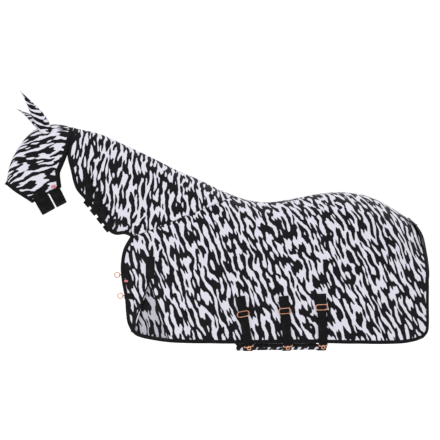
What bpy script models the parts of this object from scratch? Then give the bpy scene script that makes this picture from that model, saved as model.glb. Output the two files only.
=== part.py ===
"""Fly sheet for a horse: a printed mesh body sheet with a sewn-on neck cover, a fly mask with ear
covers, a belly flap under the barrel, a tail flap, webbing straps and their metal hardware.

The sheet is modelled as it lies on a standing horse that faces -X. Its left side, where it
fastens, is at -Y. The origin is the underside of the sheet over the withers.
"""
import math

import bmesh
import bpy
from mathutils import Vector
from mathutils.bvhtree import BVHTree

# ---------------------------------------------------------------- driving dimensions, in metres
BODY_LENGTH = 1.80  # chest edge to rear edge
SHEET_DROP = 0.85  # withers to hem
BARREL_WIDTH = 0.62  # across both sides at the barrel
MASK_WIDTH = 0.21  # across the mask at the forehead
CLOTH = 0.003  # a panel with its seam turnings
BINDING_WIDTH = 0.018
BINDING_STEP = 0.0008  # how far a binding stands out over each face of its panel
WEBBING_WIDTH = 0.050
WEBBING = 0.0025
TAB_WIDTH = 0.042
TAB_THICKNESS = 0.003
TAB_DROP = 0.006  # how far a neck tab bulges past its last point on the sheet
TAB_OVERHANG = 0.007  # of a tab's straight run past the edge
TAB_SEWN = 0.011  # of a tab on the right side, past the edge and on its binding
TAB_REACH = 0.040  # how far in from the edge a neck tab aims before it bends to its end
THROAT_LAY = 0.0005  # between a throat strap and the mask under it
LABEL = 0.0012
THROAT_STRAP_DROP = 0.095  # how far a throat strap hangs below the jaw edge
GAP = 0.0003  # between pieces that touch
SEAM_GAP = 0.0008  # between curved pieces sewn edge to edge
RIDGE_GAP = 0.0018  # between the two sides along the ridge, over the seam tape
LAY = 0.0009  # between a curved panel and a piece that lies on it
SLIDER_LENGTH = 0.074
SLIDER_HEIGHT = 0.036
SLIDER_WIRE = 0.0026  # radius
SLIDER_BAR = 0.0014  # radius of the bar behind the webbing
RING_RADIUS = 0.0155
RING_WIRE = 0.0028
HOOK_WIRE = 0.0030
EAR_LENGTH = 0.235
EAR_CLOTH = 0.0025
FLAP_DROP = 0.055  # how far the belly flap hangs below the hem
FLAP_LAP = 0.045  # of the belly flap, sewn inside the right hem
FLAP_WAIST = 0.035  # how much the flap narrows at each edge under the belly
FLAP_WEBBING_WIDTH = 0.045
FLAP_WEBBING_LENGTH = 0.52
FLAP_RING_RADIUS = 0.011
FLAP_RING_WIRE = 0.0022
FLAP_RING_RISE = 0.0008  # of a flap ring past the flap's edge
FLAP_WEBBING_START = 0.002  # from the flap's edge
STRAP_RUN = 0.03  # how far a belly strap's line is carried on to meet the flap's webbing
TAIL_FLAP_WIDTH = 0.20
TAIL_SHARE = 0.62  # the flap's round, as a share of the barrel's
TAIL_DEPTH = 0.13
SPINE_TAPE_WIDTH = 0.026
SPINE_TAPE = 0.0015
GUSSET_LAP = 0.012  # how far the gusset reaches under the panel
GUSSET_DEPTH = 0.0014
GUSSET_RUN = 0.03  # how far the gusset's opening is carried on past the panel's lower edge
HOOK_EYE_LENGTH = 0.056
HOOK_EYE_HEIGHT = 0.017
HOOK_RADIUS = 0.009
HOOK_SWEEP = 300  # degrees of a belly hook's round
ANCHOR_STACK = 0.0042  # of a belly strap's anchor and the folded webbing under the strap
ANCHOR_RISE = 0.004  # of the anchor past the strap's top
ANCHOR_MARGIN = 0.006  # of the anchor over the webbing's width
SLIDER_PLAY = 0.002  # between the webbing and the bend of a slider's bar
CHEST_WEBBING_WIDTH = 0.034
CHEST_ANCHOR_LENGTH = 0.045
CHEST_SET = 0.006  # from the front edge to the chest webbing
CATCH_STAND = 0.020  # how far a chest ring's centre stands ahead of the edge
CATCH_OFFSET = 0.0034  # of ring and hook to each side of the centre plane
SHANK_RADIUS = 0.0016
EAR_FOOT = (0.034, 0.022)
EAR_SPREAD = 0.020
EAR_LEAN = 0.25  # of the oval ear foot
EAR_HOLE = 0.80  # of the mask's ear hole, as a share of the ear's foot

# The outlines are drawn for one pattern size and graded to the two sizes above.
PATTERN_LENGTH = 1.80
PATTERN_DROP = 0.85

TOP_LINE = [(-0.938, 0.399), (-0.787, 0.366), (-0.628, 0.295), (-0.486, 0.229), (-0.344, 0.158),
            (-0.202, 0.097), (-0.090, 0.042), (0.000, 0.0045), (0.094, -0.024), (0.194, -0.036),
            (0.340, -0.018), (0.482, 0.010), (0.620, 0.024), (0.766, 0.008), (0.860, -0.026),
            (0.954, -0.078), (1.030, -0.127), (1.078, -0.178)]
TAIL_LINE = [(1.078, -0.178), (1.108, -0.225), (1.122, -0.280)]
REAR_EDGE = [(1.078, -0.178), (1.108, -0.225), (1.122, -0.290), (1.127, -0.400), (1.126, -0.612),
             (1.127, -0.740), (1.119, -0.790), (1.090, -0.822)]
HEM = [(1.090, -0.822), (1.040, -0.838), (0.940, -0.848), (0.671, -0.845), (0.400, -0.838),
       (-0.013, -0.839), (-0.300, -0.834), (-0.500, -0.828), (-0.575, -0.815), (-0.606, -0.792)]
CHEST_EDGE = [(-0.606, -0.792), (-0.628, -0.745), (-0.636, -0.690), (-0.643, -0.600),
              (-0.660, -0.505), (-0.667, -0.410), (-0.650, -0.310), (-0.606, -0.235)]
NECK_HEM = [(-0.606, -0.235), (-0.645, -0.221), (-0.690, -0.226), (-0.727, -0.212)]
THROAT_EDGE = [(-0.727, -0.212), (-0.768, -0.160), (-0.820, -0.090), (-0.872, -0.023)]
POLL_EDGE = [(-0.872, -0.023), (-0.926, 0.046), (-0.955, 0.154), (-0.974, 0.251), (-0.938, 0.399)]
CHEST_LINE = [(-0.885, -0.040), (-0.836, -0.105), (-0.784, -0.172), (-0.738, -0.232),
              (-0.693, -0.300), (-0.672, -0.405), (-0.664, -0.505), (-0.647, -0.600),
              (-0.640, -0.690), (-0.634, -0.800), (-0.630, -0.860)]
FACE_LINE = [(-0.943, 0.400), (-1.009, 0.419), (-1.066, 0.420), (-1.130, 0.405), (-1.190, 0.372),
             (-1.247, 0.308), (-1.293, 0.230), (-1.318, 0.160), (-1.333, 0.070)]
NOSE_HEM = [(-1.333, 0.070), (-1.282, 0.030), (-1.230, -0.004), (-1.180, -0.037)]
JAW_EDGE = [(-1.180, -0.037), (-1.126, -0.006), (-1.080, 0.018), (-1.014, 0.052)]
MASK_REAR = [(-1.014, 0.052), (-1.020, 0.095), (-1.023, 0.137), (-1.006, 0.180), (-0.9778, 0.253),
             (-0.9427, 0.398)]

# Half widths of the body, against the place x - 0.8 z, and their rounding depths below the ridge.
BODY_SECTIONS = [(-1.30, 0.29, 0.100), (-0.90, 0.38, 0.150), (-0.50, 0.50, 0.190),
                 (-0.20, 0.68, 0.230), (0.05, 0.87, 0.260), (0.30, 0.98, 0.270),
                 (0.44, 1.00, 0.280), (2.00, 1.00, 0.280)]
SECTION_SLANT = 0.8
RUMP_START = 0.72  # where the sides begin to round in towards the tail
RUMP_END = 1.16
REAR_SHARE = 0.46  # of the barrel's width, left at the rear edge
THROAT_DEPTH = 0.20  # how far back the throat rounds
CHEST_DEPTH = 0.34
MASK_SECTIONS = [(0.00, 0.82), (0.12, 1.00), (0.28, 0.92), (0.42, 0.72), (0.55, 0.60)]
FACE_DEPTH = 0.105
JAW_DEPTH = 0.14
JAW_SHARE = 0.62  # of the mask's width, left at the jaw edge

# Places on the left side of the sheet, as (x, z).
BELLY_STRAPS = [((0.012, -0.573), (0.060, -0.843)), ((0.262, -0.572), (0.285, -0.843)),
                ((0.478, -0.560), (0.490, -0.840))]
SLIDER_HEIGHTS = [-0.668, -0.652, -0.632]
CHEST_CATCHES = {"upper": (-0.462, 0.100), "lower": (-0.585, 0.090)}
NECK_TABS = [(0.09, (-0.863, 0.124), 0.0022), (0.345, (-0.795, 0.031), 0.0014),
             (0.61, (-0.762, -0.060), 0.0011), (0.865, (-0.716, -0.128), 0.0009)]
# For each neck tab: its share along the throat edge, its loose end and its lay on the panel.
GUSSET_APEX = (-0.500, -0.490)
GUSSET_FEET = [(-0.603, -0.800), (-0.398, -0.812)]
GUSSET_PATCH = ((-0.496, -0.346), (-0.496, -0.474))
THROAT_STRAPS = [(-1.161, -1.092, 0.040), (-1.078, -1.020, 0.012)]
EAR_BASE = (-1.098, 0.384)
EAR_LINES = {"left": ((-0.100, 0.0, 0.215), (-0.045, 0.0, 0.010)),
             "right": ((-0.130, 0.0, 0.160), (-0.050, 0.0, -0.030))}
FLAP_EDGES = [(-0.012, 0.0), (0.522, 0.0)]
TAIL_FLAP = [(1.046, -0.128), (1.088, -0.168), (1.126, -0.232), (1.146, -0.330), (1.157, -0.408),
             (1.160, -0.486), (1.150, -0.532)]
CHEST_LABEL = (-0.634, -0.490)
MASK_LABEL = (-1.058, 0.066)

PRINT_MESH = ("print_mesh", (0.62, 0.61, 0.66), 0.75, 0.0)
BLACK_BINDING = ("black_binding", (0.012, 0.012, 0.014), 0.70, 0.0)
BLACK_WEBBING = ("black_webbing", (0.010, 0.010, 0.011), 0.60, 0.0)
ROSE_GOLD = ("rose_gold", (0.62, 0.33, 0.22), 0.28, 1.0)
WOVEN_LABEL = ("woven_label", (0.45, 0.10, 0.12), 0.80, 0.0)


# ---------------------------------------------------------------- scene, materials and objects
def clear_scene():
    for thing in list(bpy.data.objects):
        bpy.data.objects.remove(thing, do_unlink=True)


def collection(name):
    found = bpy.data.collections.get(name)
    if found is None:
        found = bpy.data.collections.new(name)
        bpy.context.scene.collection.children.link(found)
    return found


def material(look):
    name, colour, roughness, metallic = look
    found = bpy.data.materials.get(name)
    if found is None:
        found = bpy.data.materials.new(name)
        found.use_nodes = True
        shader = found.node_tree.nodes["Principled BSDF"]
        shader.inputs["Base Color"].default_value = (*colour, 1.0)
        shader.inputs["Roughness"].default_value = roughness
        shader.inputs["Metallic"].default_value = metallic
    return found


def add_object(name, mesh, look):
    thing = bpy.data.objects.new(name, mesh)
    thing.data.materials.append(material(look))
    collection("fly_sheet").objects.link(thing)
    return thing


def mesh_from_grid(name, rows, outward):
    """Make an open surface from rows of points, with its faces turned towards outward."""
    points = [point for row in rows for point in row]
    width = len(rows[0])
    faces = []
    for j in range(len(rows) - 1):
        for i in range(width - 1):
            corner = j * width + i
            faces.append((corner, corner + 1, corner + width + 1, corner + width))
    mesh = bpy.data.meshes.new(name)
    mesh.from_pydata(points, [], faces)
    mesh.update()
    total = Vector((0.0, 0.0, 0.0))
    for face in mesh.polygons:
        total += face.normal * face.area
    if total.dot(Vector(outward)) < 0:
        mesh.flip_normals()
    return mesh


def cloth_piece(name, rows, outward, look, thickness=CLOTH, lift=0.0):
    """A sheet of cloth: its outer face is the grid, raised by lift, and it is thick inwards."""
    thing = add_object(name, mesh_from_grid(name, rows, outward), look)
    shell = thing.modifiers.new("cloth", "SOLIDIFY")
    shell.thickness = thickness
    shell.offset = 2.0 * lift / thickness - 1.0
    shell.use_even_offset = True
    thing.data.shade_smooth()
    return thing


# ---------------------------------------------------------------- plane curves
def graded(points):
    """Scale an outline from the pattern's size to the size that is being made."""
    along = BODY_LENGTH / PATTERN_LENGTH
    down = SHEET_DROP / PATTERN_DROP
    return [Vector((x * along, z * down)) for x, z in points]


def graded_point(point):
    return graded([point])[0]


def smooth(points, steps=7):
    """Return close points on a smooth curve through the given ones."""
    count = len(points)
    tangents = []
    for i in range(count):
        before = points[max(i - 1, 0)]
        after = points[min(i + 1, count - 1)]
        run = (points[i] - before).length + (after - points[i]).length
        tangents.append((after - before) / run)
    curve = []
    for i in range(count - 1):
        span = (points[i + 1] - points[i]).length
        for k in range(steps):
            t = k / steps
            start = points[i] * (2 * t**3 - 3 * t**2 + 1) + tangents[i] * span * (t**3 - 2 * t**2 + t)
            end = points[i + 1] * (3 * t**2 - 2 * t**3) + tangents[i + 1] * span * (t**3 - t**2)
            curve.append(start + end)
    curve.append(points[-1].copy())
    return curve


def outline(points):
    return smooth(graded(points))


def at(line, fraction):
    """Return the point at a fraction of a line's length."""
    lengths = [(b - a).length for a, b in zip(line, line[1:])]
    wanted = fraction * sum(lengths)
    for a, b, length in zip(line, line[1:], lengths):
        if wanted <= length:
            return a.lerp(b, wanted / length if length else 0.0)
        wanted -= length
    return line[-1].copy()


def spaced(line, fractions):
    return [at(line, fraction) for fraction in fractions]


def even(count):
    return [k / count for k in range(count + 1)]


def normals(line, hand):
    """Unit normals of a line, to its left for hand 1 and to its right for hand -1."""
    found = []
    for i in range(len(line)):
        along = line[min(i + 1, len(line) - 1)] - line[max(i - 1, 0)]
        along.normalize()
        found.append(Vector((-along.y, along.x)) * hand)
    return found


def inset(line, distance, hand, first=None, last=None):
    """Move a line sideways, with its end points given where another seam sets them."""
    moved = [point + normal * distance for point, normal in zip(line, normals(line, hand))]
    if first is not None:
        moved = [first] + [p for p in moved if (p - first).length > distance]
    if last is not None:
        moved = [p for p in moved if (p - last).length > distance] + [last]
    return moved


def distance_to(point, line):
    best = 1e9
    for a, b in zip(line, line[1:]):
        along = b - a
        t = max(0.0, min(1.0, (point - a).dot(along) / along.length_squared))
        best = min(best, (a + along * t - point).length)
    return best


def blend(table, value, column=1):
    """Read a smooth value from a table of rows that start with a place."""
    if value <= table[0][0]:
        return table[0][column]
    for low, high in zip(table, table[1:]):
        if value <= high[0]:
            t = (value - low[0]) / (high[0] - low[0])
            t = t * t * (3 - 2 * t)
            return low[column] + (high[column] - low[column]) * t
    return table[-1][column]


def round_off(ratio):
    """A quarter of a circle: 0 at 0, level from 1 on."""
    rest = 1.0 - max(0.0, min(1.0, ratio))
    return math.sqrt(1.0 - rest * rest)


def swell(ratio):
    """A quarter of a sine: 0 at 0, level from 1 on."""
    return math.sin(0.5 * math.pi * max(0.0, min(1.0, ratio)))


# ---------------------------------------------------------------- the two curved forms
RIDGE = outline(TOP_LINE)
FULL_RIDGE = RIDGE + outline(TAIL_LINE)[1:]
CHEST = outline(CHEST_LINE)
FACE = outline(FACE_LINE)
JAW = outline(JAW_EDGE)


def body_half_width(point):
    """Half the sheet's width, in y, at a place in its side view."""
    x = point.x * PATTERN_LENGTH / BODY_LENGTH
    z = point.y * PATTERN_DROP / SHEET_DROP
    place = x - SECTION_SLANT * z
    share = blend(BODY_SECTIONS, place)
    depth = blend(BODY_SECTIONS, place, 2)
    rump = 1.0 - round_off((RUMP_END - x) / (RUMP_END - RUMP_START)) if x > RUMP_START else 0.0
    share = share * (1.0 - rump) + REAR_SHARE * rump
    chest = THROAT_DEPTH + (CHEST_DEPTH - THROAT_DEPTH) * swell((-0.10 - z) / 0.35)
    over_back = round_off(distance_to(point, FULL_RIDGE) / depth)
    round_front = swell(distance_to(point, CHEST) / chest)
    return RIDGE_GAP / 2 + 0.5 * BARREL_WIDTH * share * over_back * round_front


def mask_half_width(point):
    """Half the mask's width, in y, at a place in its side view."""
    poll = graded_point(FACE_LINE[0])
    nose = graded_point(NOSE_HEM[1])
    along = (nose - poll).normalized()
    share = blend(MASK_SECTIONS, (point - poll).dot(along))
    over_face = round_off(distance_to(point, FACE) / FACE_DEPTH)
    under = JAW_SHARE + (1.0 - JAW_SHARE) * round_off(distance_to(point, JAW) / JAW_DEPTH)
    return RIDGE_GAP / 2 + 0.5 * MASK_WIDTH * share * over_face * under


def on_side(point, side, half_width, out=0.0):
    """Put a side-view point on the left (-1) or right (1) of a form, a little out from it."""
    step = 0.002
    here = half_width(point)
    if not out:
        return Vector((point.x, side * here, point.y))
    slope_x = (half_width(point + Vector((step, 0.0))) - here) / step
    slope_z = (half_width(point + Vector((0.0, step))) - here) / step
    normal = Vector((-slope_x, 1.0, -slope_z)).normalized()
    return Vector((point.x + out * normal.x, side * (here + out * normal.y), point.y + out * normal.z))


def coons(left, right, top, bottom, u_places, v_places):
    """Fill four boundary lines: left and right run down, top and bottom run from left to right."""
    rows = []
    for j, v in enumerate(v_places):
        row = []
        for i, u in enumerate(u_places):
            across = left[j] * (1 - u) + right[j] * u
            down = top[i] * (1 - v) + bottom[i] * v
            corners = (left[0] * (1 - u) + right[0] * u) * (1 - v)
            corners += (left[-1] * (1 - u) + right[-1] * u) * v
            row.append(across + down - corners)
        rows.append(row)
    return rows


def raised(rows, side, half_width, out=0.0):
    return [[on_side(point, side, half_width, out) for point in row] for row in rows]


# What lies on a panel is placed on the panel's own flat faces: form and side, points and faces.
LAID = {}


def remember(form, side, rows):
    points, faces = LAID.setdefault((form, side), ([], []))
    first = len(points)
    width = len(rows[0])
    points += [point for row in rows for point in row]
    for j in range(len(rows) - 1):
        for i in range(width - 1):
            a = first + j * width + i
            faces += [(a, a + 1, a + width + 1), (a, a + width + 1, a + width)]


def tree_of(form, side):
    points, faces = LAID[(form, side)]
    return BVHTree.FromPolygons(points, faces)


def on_panel(point, side, form, out):
    """Put a side-view point on a panel's faces, out from them; off the panel, on its curved form."""
    spot, normal = TREES[(form, side)].ray_cast(Vector((point.x, side, point.y)), (0, -side, 0))[:2]
    if spot is None:
        return on_side(point, side, HALF_WIDTHS[form], out)
    if normal.y * side < 0:
        normal = -normal
    return spot + normal * out


# ---------------------------------------------------------------- pattern lines shared by pieces
def seam_line():
    """The seam between body and neck, from the withers to the point where both bindings meet."""
    top = RIDGE[min(range(len(RIDGE)), key=lambda i: abs(RIDGE[i].x))]
    corner = graded_point(NECK_HEM[0])
    back = (top - corner).normalized()
    return top, corner + back * BINDING_WIDTH, corner


SEAM_TOP, SEAM_END, SEAM_CORNER = seam_line()
SEAM_SIDE = Vector((SEAM_TOP.y - SEAM_END.y, SEAM_END.x - SEAM_TOP.x)).normalized()
SEAM_ROWS = 7
SEAM_CROWDING = 2.1  # rows stand closer near the ridge, where the form turns fastest
SEAM_PLACES = [(k / SEAM_ROWS) ** SEAM_CROWDING for k in range(SEAM_ROWS + 1)]
CHEST_ROWS = 8
MASK_ROWS = 8
MASK_CROWDING = 1.9
MASK_CORNER = 0.03  # kept clear of extra points beside each corner of the mask
BODY_COLUMNS = 34
COLUMN_CROWDING = 0.5  # how much closer columns stand at the two ends of the body


def split_ridge(low, high):
    return [p for p in RIDGE if low - 1e-6 <= p.x <= high + 1e-6]


def body_lines():
    """The body panel's chest, hem and rear lines, inside its binding."""
    dock = RIDGE[-1]
    ridge_end = dock + (RIDGE[-3] - dock).normalized() * BINDING_WIDTH
    edge = outline(CHEST_EDGE[::-1])
    hem = outline(HEM[::-1])
    rear = outline(REAR_EDGE[::-1])
    start = SEAM_END + SEAM_SIDE * SEAM_GAP / 2
    whole = edge + hem[1:] + rear[1:]
    inner = inset(whole, BINDING_WIDTH, 1, start, ridge_end)
    chest_end = min(range(len(inner)), key=lambda i: (inner[i] - edge[-1]).length)
    hem_end = min(range(len(inner)), key=lambda i: (inner[i] - hem[-1]).length)
    return inner[: chest_end + 1], inner[chest_end: hem_end + 1], inner[hem_end:]


def body_grid():
    chest, hem, rear = body_lines()
    shift = SEAM_SIDE * SEAM_GAP / 2
    seam = [SEAM_TOP.lerp(SEAM_END, place) + shift for place in SEAM_PLACES]
    chest_points = spaced(chest, even(CHEST_ROWS))
    left = seam + chest_points[1:]
    seam_share = 0.5
    v_places = [place * seam_share for place in SEAM_PLACES]
    v_places += [seam_share + (1 - seam_share) * k / CHEST_ROWS for k in range(1, CHEST_ROWS + 1)]
    crowd = COLUMN_CROWDING / (2 * math.pi)
    u_places = [t - crowd * math.sin(2 * math.pi * t) for t in even(BODY_COLUMNS)]
    ridge = [SEAM_TOP + shift] + split_ridge(SEAM_TOP.x + 0.01, rear[-1].x - 0.005) + [rear[-1]]
    top = spaced(ridge, u_places)
    bottom = spaced(hem, u_places)
    right = spaced(rear[::-1], v_places)
    return coons(left, right, top, bottom, u_places, v_places)


def neck_grid():
    throat = outline(NECK_HEM + THROAT_EDGE[1:])
    poll = outline(POLL_EDGE)
    start = SEAM_END - SEAM_SIDE * SEAM_GAP / 2
    ridge_end = RIDGE[0] + (RIDGE[2] - RIDGE[0]).normalized() * BINDING_WIDTH
    inner = inset(throat + poll[1:], BINDING_WIDTH, -1, start, ridge_end)
    split = min(range(len(inner)), key=lambda i: (inner[i] - poll[0]).length)
    shift = SEAM_SIDE * -SEAM_GAP / 2
    left = [SEAM_TOP.lerp(SEAM_END, place) + shift for place in SEAM_PLACES]
    u_places = even(14)
    ridge = split_ridge(ridge_end.x + 0.005, SEAM_TOP.x - 0.01)
    top = spaced([SEAM_TOP + shift] + ridge[::-1] + [ridge_end], u_places)
    bottom = spaced(inner[: split + 1], u_places)
    right = spaced(inner[split:][::-1], SEAM_PLACES)
    return coons(left, right, top, bottom, u_places, SEAM_PLACES)


def mask_grid():
    nose = outline(NOSE_HEM)
    rear = outline(MASK_REAR)
    face_start = FACE[0] + (FACE[2] - FACE[0]).normalized() * BINDING_WIDTH
    face_end = FACE[-1] + (FACE[-3] - FACE[-1]).normalized() * BINDING_WIDTH
    jaw_front = JAW[0] + (JAW[2] - JAW[0]).normalized() * BINDING_WIDTH
    jaw_rear = JAW[-1] + (JAW[-3] - JAW[-1]).normalized() * BINDING_WIDTH
    nose_in = inset(nose, BINDING_WIDTH, 1, face_end, jaw_front)
    rear_in = inset(rear, BINDING_WIDTH, 1, jaw_rear, face_start)
    u_places = even(11)
    v_places = [(k / MASK_ROWS) ** MASK_CROWDING for k in range(MASK_ROWS + 1)]
    face = [face_start] + [p for p in FACE if (p - FACE[0]).length > MASK_CORNER
                           and (p - FACE[-1]).length > MASK_CORNER] + [face_end]
    left = spaced(nose_in, v_places)
    right = spaced(rear_in[::-1], v_places)
    top = spaced(face[::-1], u_places)
    bottom = spaced([jaw_front] + [p for p in JAW if (p - JAW[0]).length > MASK_CORNER
                                   and (p - JAW[-1]).length > MASK_CORNER] + [jaw_rear], u_places)
    return coons(left, right, top, bottom, u_places, v_places)


HALF_WIDTHS = {"body": body_half_width, "mask": mask_half_width}
TREES = {}


# ---------------------------------------------------------------- cloth panels and bindings
def border(name, inner, hand, place, outward, ends=(None, None), form=None, side=0,
           gap=GAP + SEAM_GAP):
    """A binding along a panel's edge: it starts a gap outside the panel's own edge points."""
    out = normals(inner, hand)
    if ends[0] is not None:
        out[0] = ends[0]
    if ends[1] is not None:
        out[-1] = ends[1]
    rows = []
    for step in (gap, BINDING_WIDTH * 0.55, BINDING_WIDTH):
        rows.append([place(point + normal * step) for point, normal in zip(inner, out)])
    if form:
        remember(form, side, rows)
    thickness = CLOTH + 2 * BINDING_STEP
    return cloth_piece(name, rows, outward, BLACK_BINDING, thickness, BINDING_STEP)


def side_border(name, inner, hand, side, form, ends):
    def place(point):
        return on_side(point, side, lambda p: max(HALF_WIDTHS[form](p), RIDGE_GAP))
    return border(name, inner, hand, place, (0, side, 0), ends, form, side)


def side_panel(name, rows, side, form):
    grid = raised(rows, side, HALF_WIDTHS[form])
    remember(form, side, grid)
    return cloth_piece(name, grid, (0, side, 0), PRINT_MESH)


def make_body(side, word):
    rows = body_grid()
    panel = side_panel("body_panel_" + word, rows, side, "body")
    chest = [row[0] for row in rows[SEAM_ROWS:]]
    rear = [row[-1] for row in rows[:-1]][::-1]
    edge = chest + rows[-1][1:] + rear
    start = (SEAM_CORNER - SEAM_END).normalized()
    end = (RIDGE[-1] - RIDGE[-3]).normalized()
    side_border("edge_binding_" + word, edge, -1, side, "body", (start, end))
    return panel


def make_neck(side, word):
    rows = neck_grid()
    side_panel("neck_panel_" + word, rows, side, "body")
    edge = rows[-1] + [row[-1] for row in rows[:-1]][::-1]
    start = (SEAM_CORNER - SEAM_END).normalized()
    end = (RIDGE[0] - RIDGE[2]).normalized()
    side_border("neck_binding_" + word, edge, 1, side, "body", (start, end))


def make_mask(side, word):
    rows = mask_grid()
    panel = side_panel("mask_panel_" + word, rows, side, "mask")
    nose = [row[0] for row in rows]
    rear = [row[-1] for row in rows[::-1]]
    nose_ends = ((FACE[-1] - FACE[-3]).normalized(), (JAW[0] - JAW[2]).normalized())
    rear_ends = ((JAW[-1] - JAW[-3]).normalized(), (FACE[0] - FACE[2]).normalized())
    side_border("mask_nose_binding_" + word, nose, -1, side, "mask", nose_ends)
    side_border("mask_rear_binding_" + word, rear, -1, side, "mask", rear_ends)
    return panel


def cut_gusset(panel, side, word):
    """Open a shoulder pleat in the panel and set a gusset behind the opening."""
    apex = graded_point(GUSSET_APEX)
    front, back = graded(GUSSET_FEET)
    below = Vector((0.0, -GUSSET_RUN))
    outline_points = [apex, front + below, back + below]
    near, far = 0.05, 0.5 * BARREL_WIDTH + 0.05
    cutter = prism("gusset_cutter_" + word, outline_points, side * near, side * far)
    cut = panel.modifiers.new("gusset opening", "BOOLEAN")
    cut.operation = "DIFFERENCE"
    cut.object = cutter
    rows = []
    lap = GUSSET_LAP
    for k in range(7):
        t = k / 6
        left = apex.lerp(front, t) + Vector((-lap, lap * (1 - t)))
        right = apex.lerp(back, t) + Vector((lap, lap * (1 - t)))
        rows.append([left.lerp(right, u) for u in even(4)])
    depth = CLOTH + GUSSET_DEPTH
    grid = [[on_panel(point, side, "body", -depth) for point in row] for row in rows]
    cloth_piece("shoulder_gusset_" + word, grid, (0, side, 0), PRINT_MESH)


def cut_ear_hole(panel, side, word):
    """An oval hole in the mask that the ear passes through."""
    base = graded_point(EAR_BASE)
    points = []
    for k in range(16):
        turn = 2 * math.pi * k / 16
        reach = Vector((EAR_FOOT[0] * math.cos(turn), EAR_FOOT[1] * math.sin(turn)))
        reach.x += EAR_LEAN * EAR_FOOT[1] * math.sin(turn)
        points.append(base + reach * EAR_HOLE)
    cutter = prism("ear_cutter_" + word, points, side * 0.01, side * (0.5 * MASK_WIDTH + 0.05))
    cut = panel.modifiers.new("ear hole", "BOOLEAN")
    cut.operation = "DIFFERENCE"
    cut.object = cutter


def prism(name, points, y_low, y_high):
    """A closed prism across the sheet, from side-view points, used as a cutter."""
    form = bmesh.new()
    ring = [form.verts.new((p.x, y_low, p.y)) for p in points]
    face = form.faces.new(ring)
    grown = bmesh.ops.extrude_face_region(form, geom=[face])
    moved = [v for v in grown["geom"] if isinstance(v, bmesh.types.BMVert)]
    bmesh.ops.translate(form, vec=(0, y_high - y_low, 0), verts=moved)
    bmesh.ops.recalc_face_normals(form, faces=form.faces)
    mesh = bpy.data.meshes.new(name)
    form.to_mesh(mesh)
    form.free()
    cutter = bpy.data.objects.new(name, mesh)
    cutter.hide_render = True
    cutter.display_type = "WIRE"
    collection("cutters").objects.link(cutter)
    return cutter


def make_spine_tape():
    """A tape inside the sheet that covers the seam between its two sides, from poll to dock."""
    line = RIDGE[2:-3:2]
    up = normals(line, 1)
    rows = []
    for point, normal in zip(line, up):
        if normal.y < 0:
            normal = -normal
        row = []
        for u in (-1.0, -0.2, 0.2, 1.0):
            side = 1 if u > 0 else -1
            start = Vector((point.x + normal.x * 0.05, 0.0, point.y + normal.y * 0.05))
            start.y = u * 0.5 * SPINE_TAPE_WIDTH
            ray = (-normal.x, 0.0, -normal.y)
            spot = TREES[("body", side)].ray_cast(start, ray)[0]
            if spot is None:
                spot = Vector((point.x, start.y, point.y))
            row.append(spot - Vector((normal.x, 0.0, normal.y)) * (CLOTH + LAY))
        rows.append(row)
    cloth_piece("spine_tape", rows, (0, 0, 1), BLACK_BINDING, SPINE_TAPE)


# ---------------------------------------------------------------- webbing
def strip_rows(line, width, place):
    """Rows of three points across a strip that follows a line on the side view."""
    across = normals(line, 1)
    shares = (-0.5, -0.25, 0.0, 0.25, 0.5)
    return [[place(p + n * width * u) for u in shares] for p, n in zip(line, across)]


def patch(name, line, width, side, form, out, thickness, look=BLACK_WEBBING):
    """A strip on a curved side; out is the height of its inner face over the panel."""
    def place(point):
        return on_panel(point, side, form, out + thickness)
    return cloth_piece(name, strip_rows(line, width, place), (0, side, 0), look, thickness)


def straight(a, b, count):
    return [a.lerp(b, k / count) for k in range(count + 1)]


STRAP_IN = LAY + ANCHOR_STACK + GAP  # height of a belly strap's inner face over the panel
STRAP_OUT = STRAP_IN + WEBBING
BELLY_SIDE = -1


def strap_frame(index):
    """A belly strap's top, bottom, direction down and direction across, in the side view."""
    top, bottom = graded(BELLY_STRAPS[index])
    down = (bottom - top).normalized()
    return top, bottom, down, Vector((-down.y, down.x))


def over_panel(point, out):
    return on_side(point, BELLY_SIDE, body_half_width, out)


def make_belly_straps():
    for i in range(len(BELLY_STRAPS)):
        number = str(i + 1)
        top, bottom, down, across = strap_frame(i)
        anchor_line = straight(top - down * ANCHOR_RISE, top + down * WEBBING_WIDTH, 2)
        anchor_thickness = STRAP_IN - GAP - LAY
        patch("belly_anchor_" + number, anchor_line, WEBBING_WIDTH + ANCHOR_MARGIN, BELLY_SIDE,
              "body", LAY, anchor_thickness)
        patch("belly_strap_" + number, straight(top, bottom, 4), WEBBING_WIDTH, BELLY_SIDE,
              "body", STRAP_IN, WEBBING)
        make_slider(i, number)
        make_belly_hook(i, number)


def stadium(centre, half_length, half_height, steps=5):
    """Points round a ring with two straight runs and half-circle ends, in (u, v)."""
    points = []
    for end in (1, -1):
        for k in range(steps + 1):
            turn = math.pi * k / steps - 0.5 * math.pi
            points.append((centre[0] + end * (half_length - half_height + half_height * math.cos(turn)),
                           centre[1] + end * half_height * math.sin(turn)))
    return points


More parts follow.
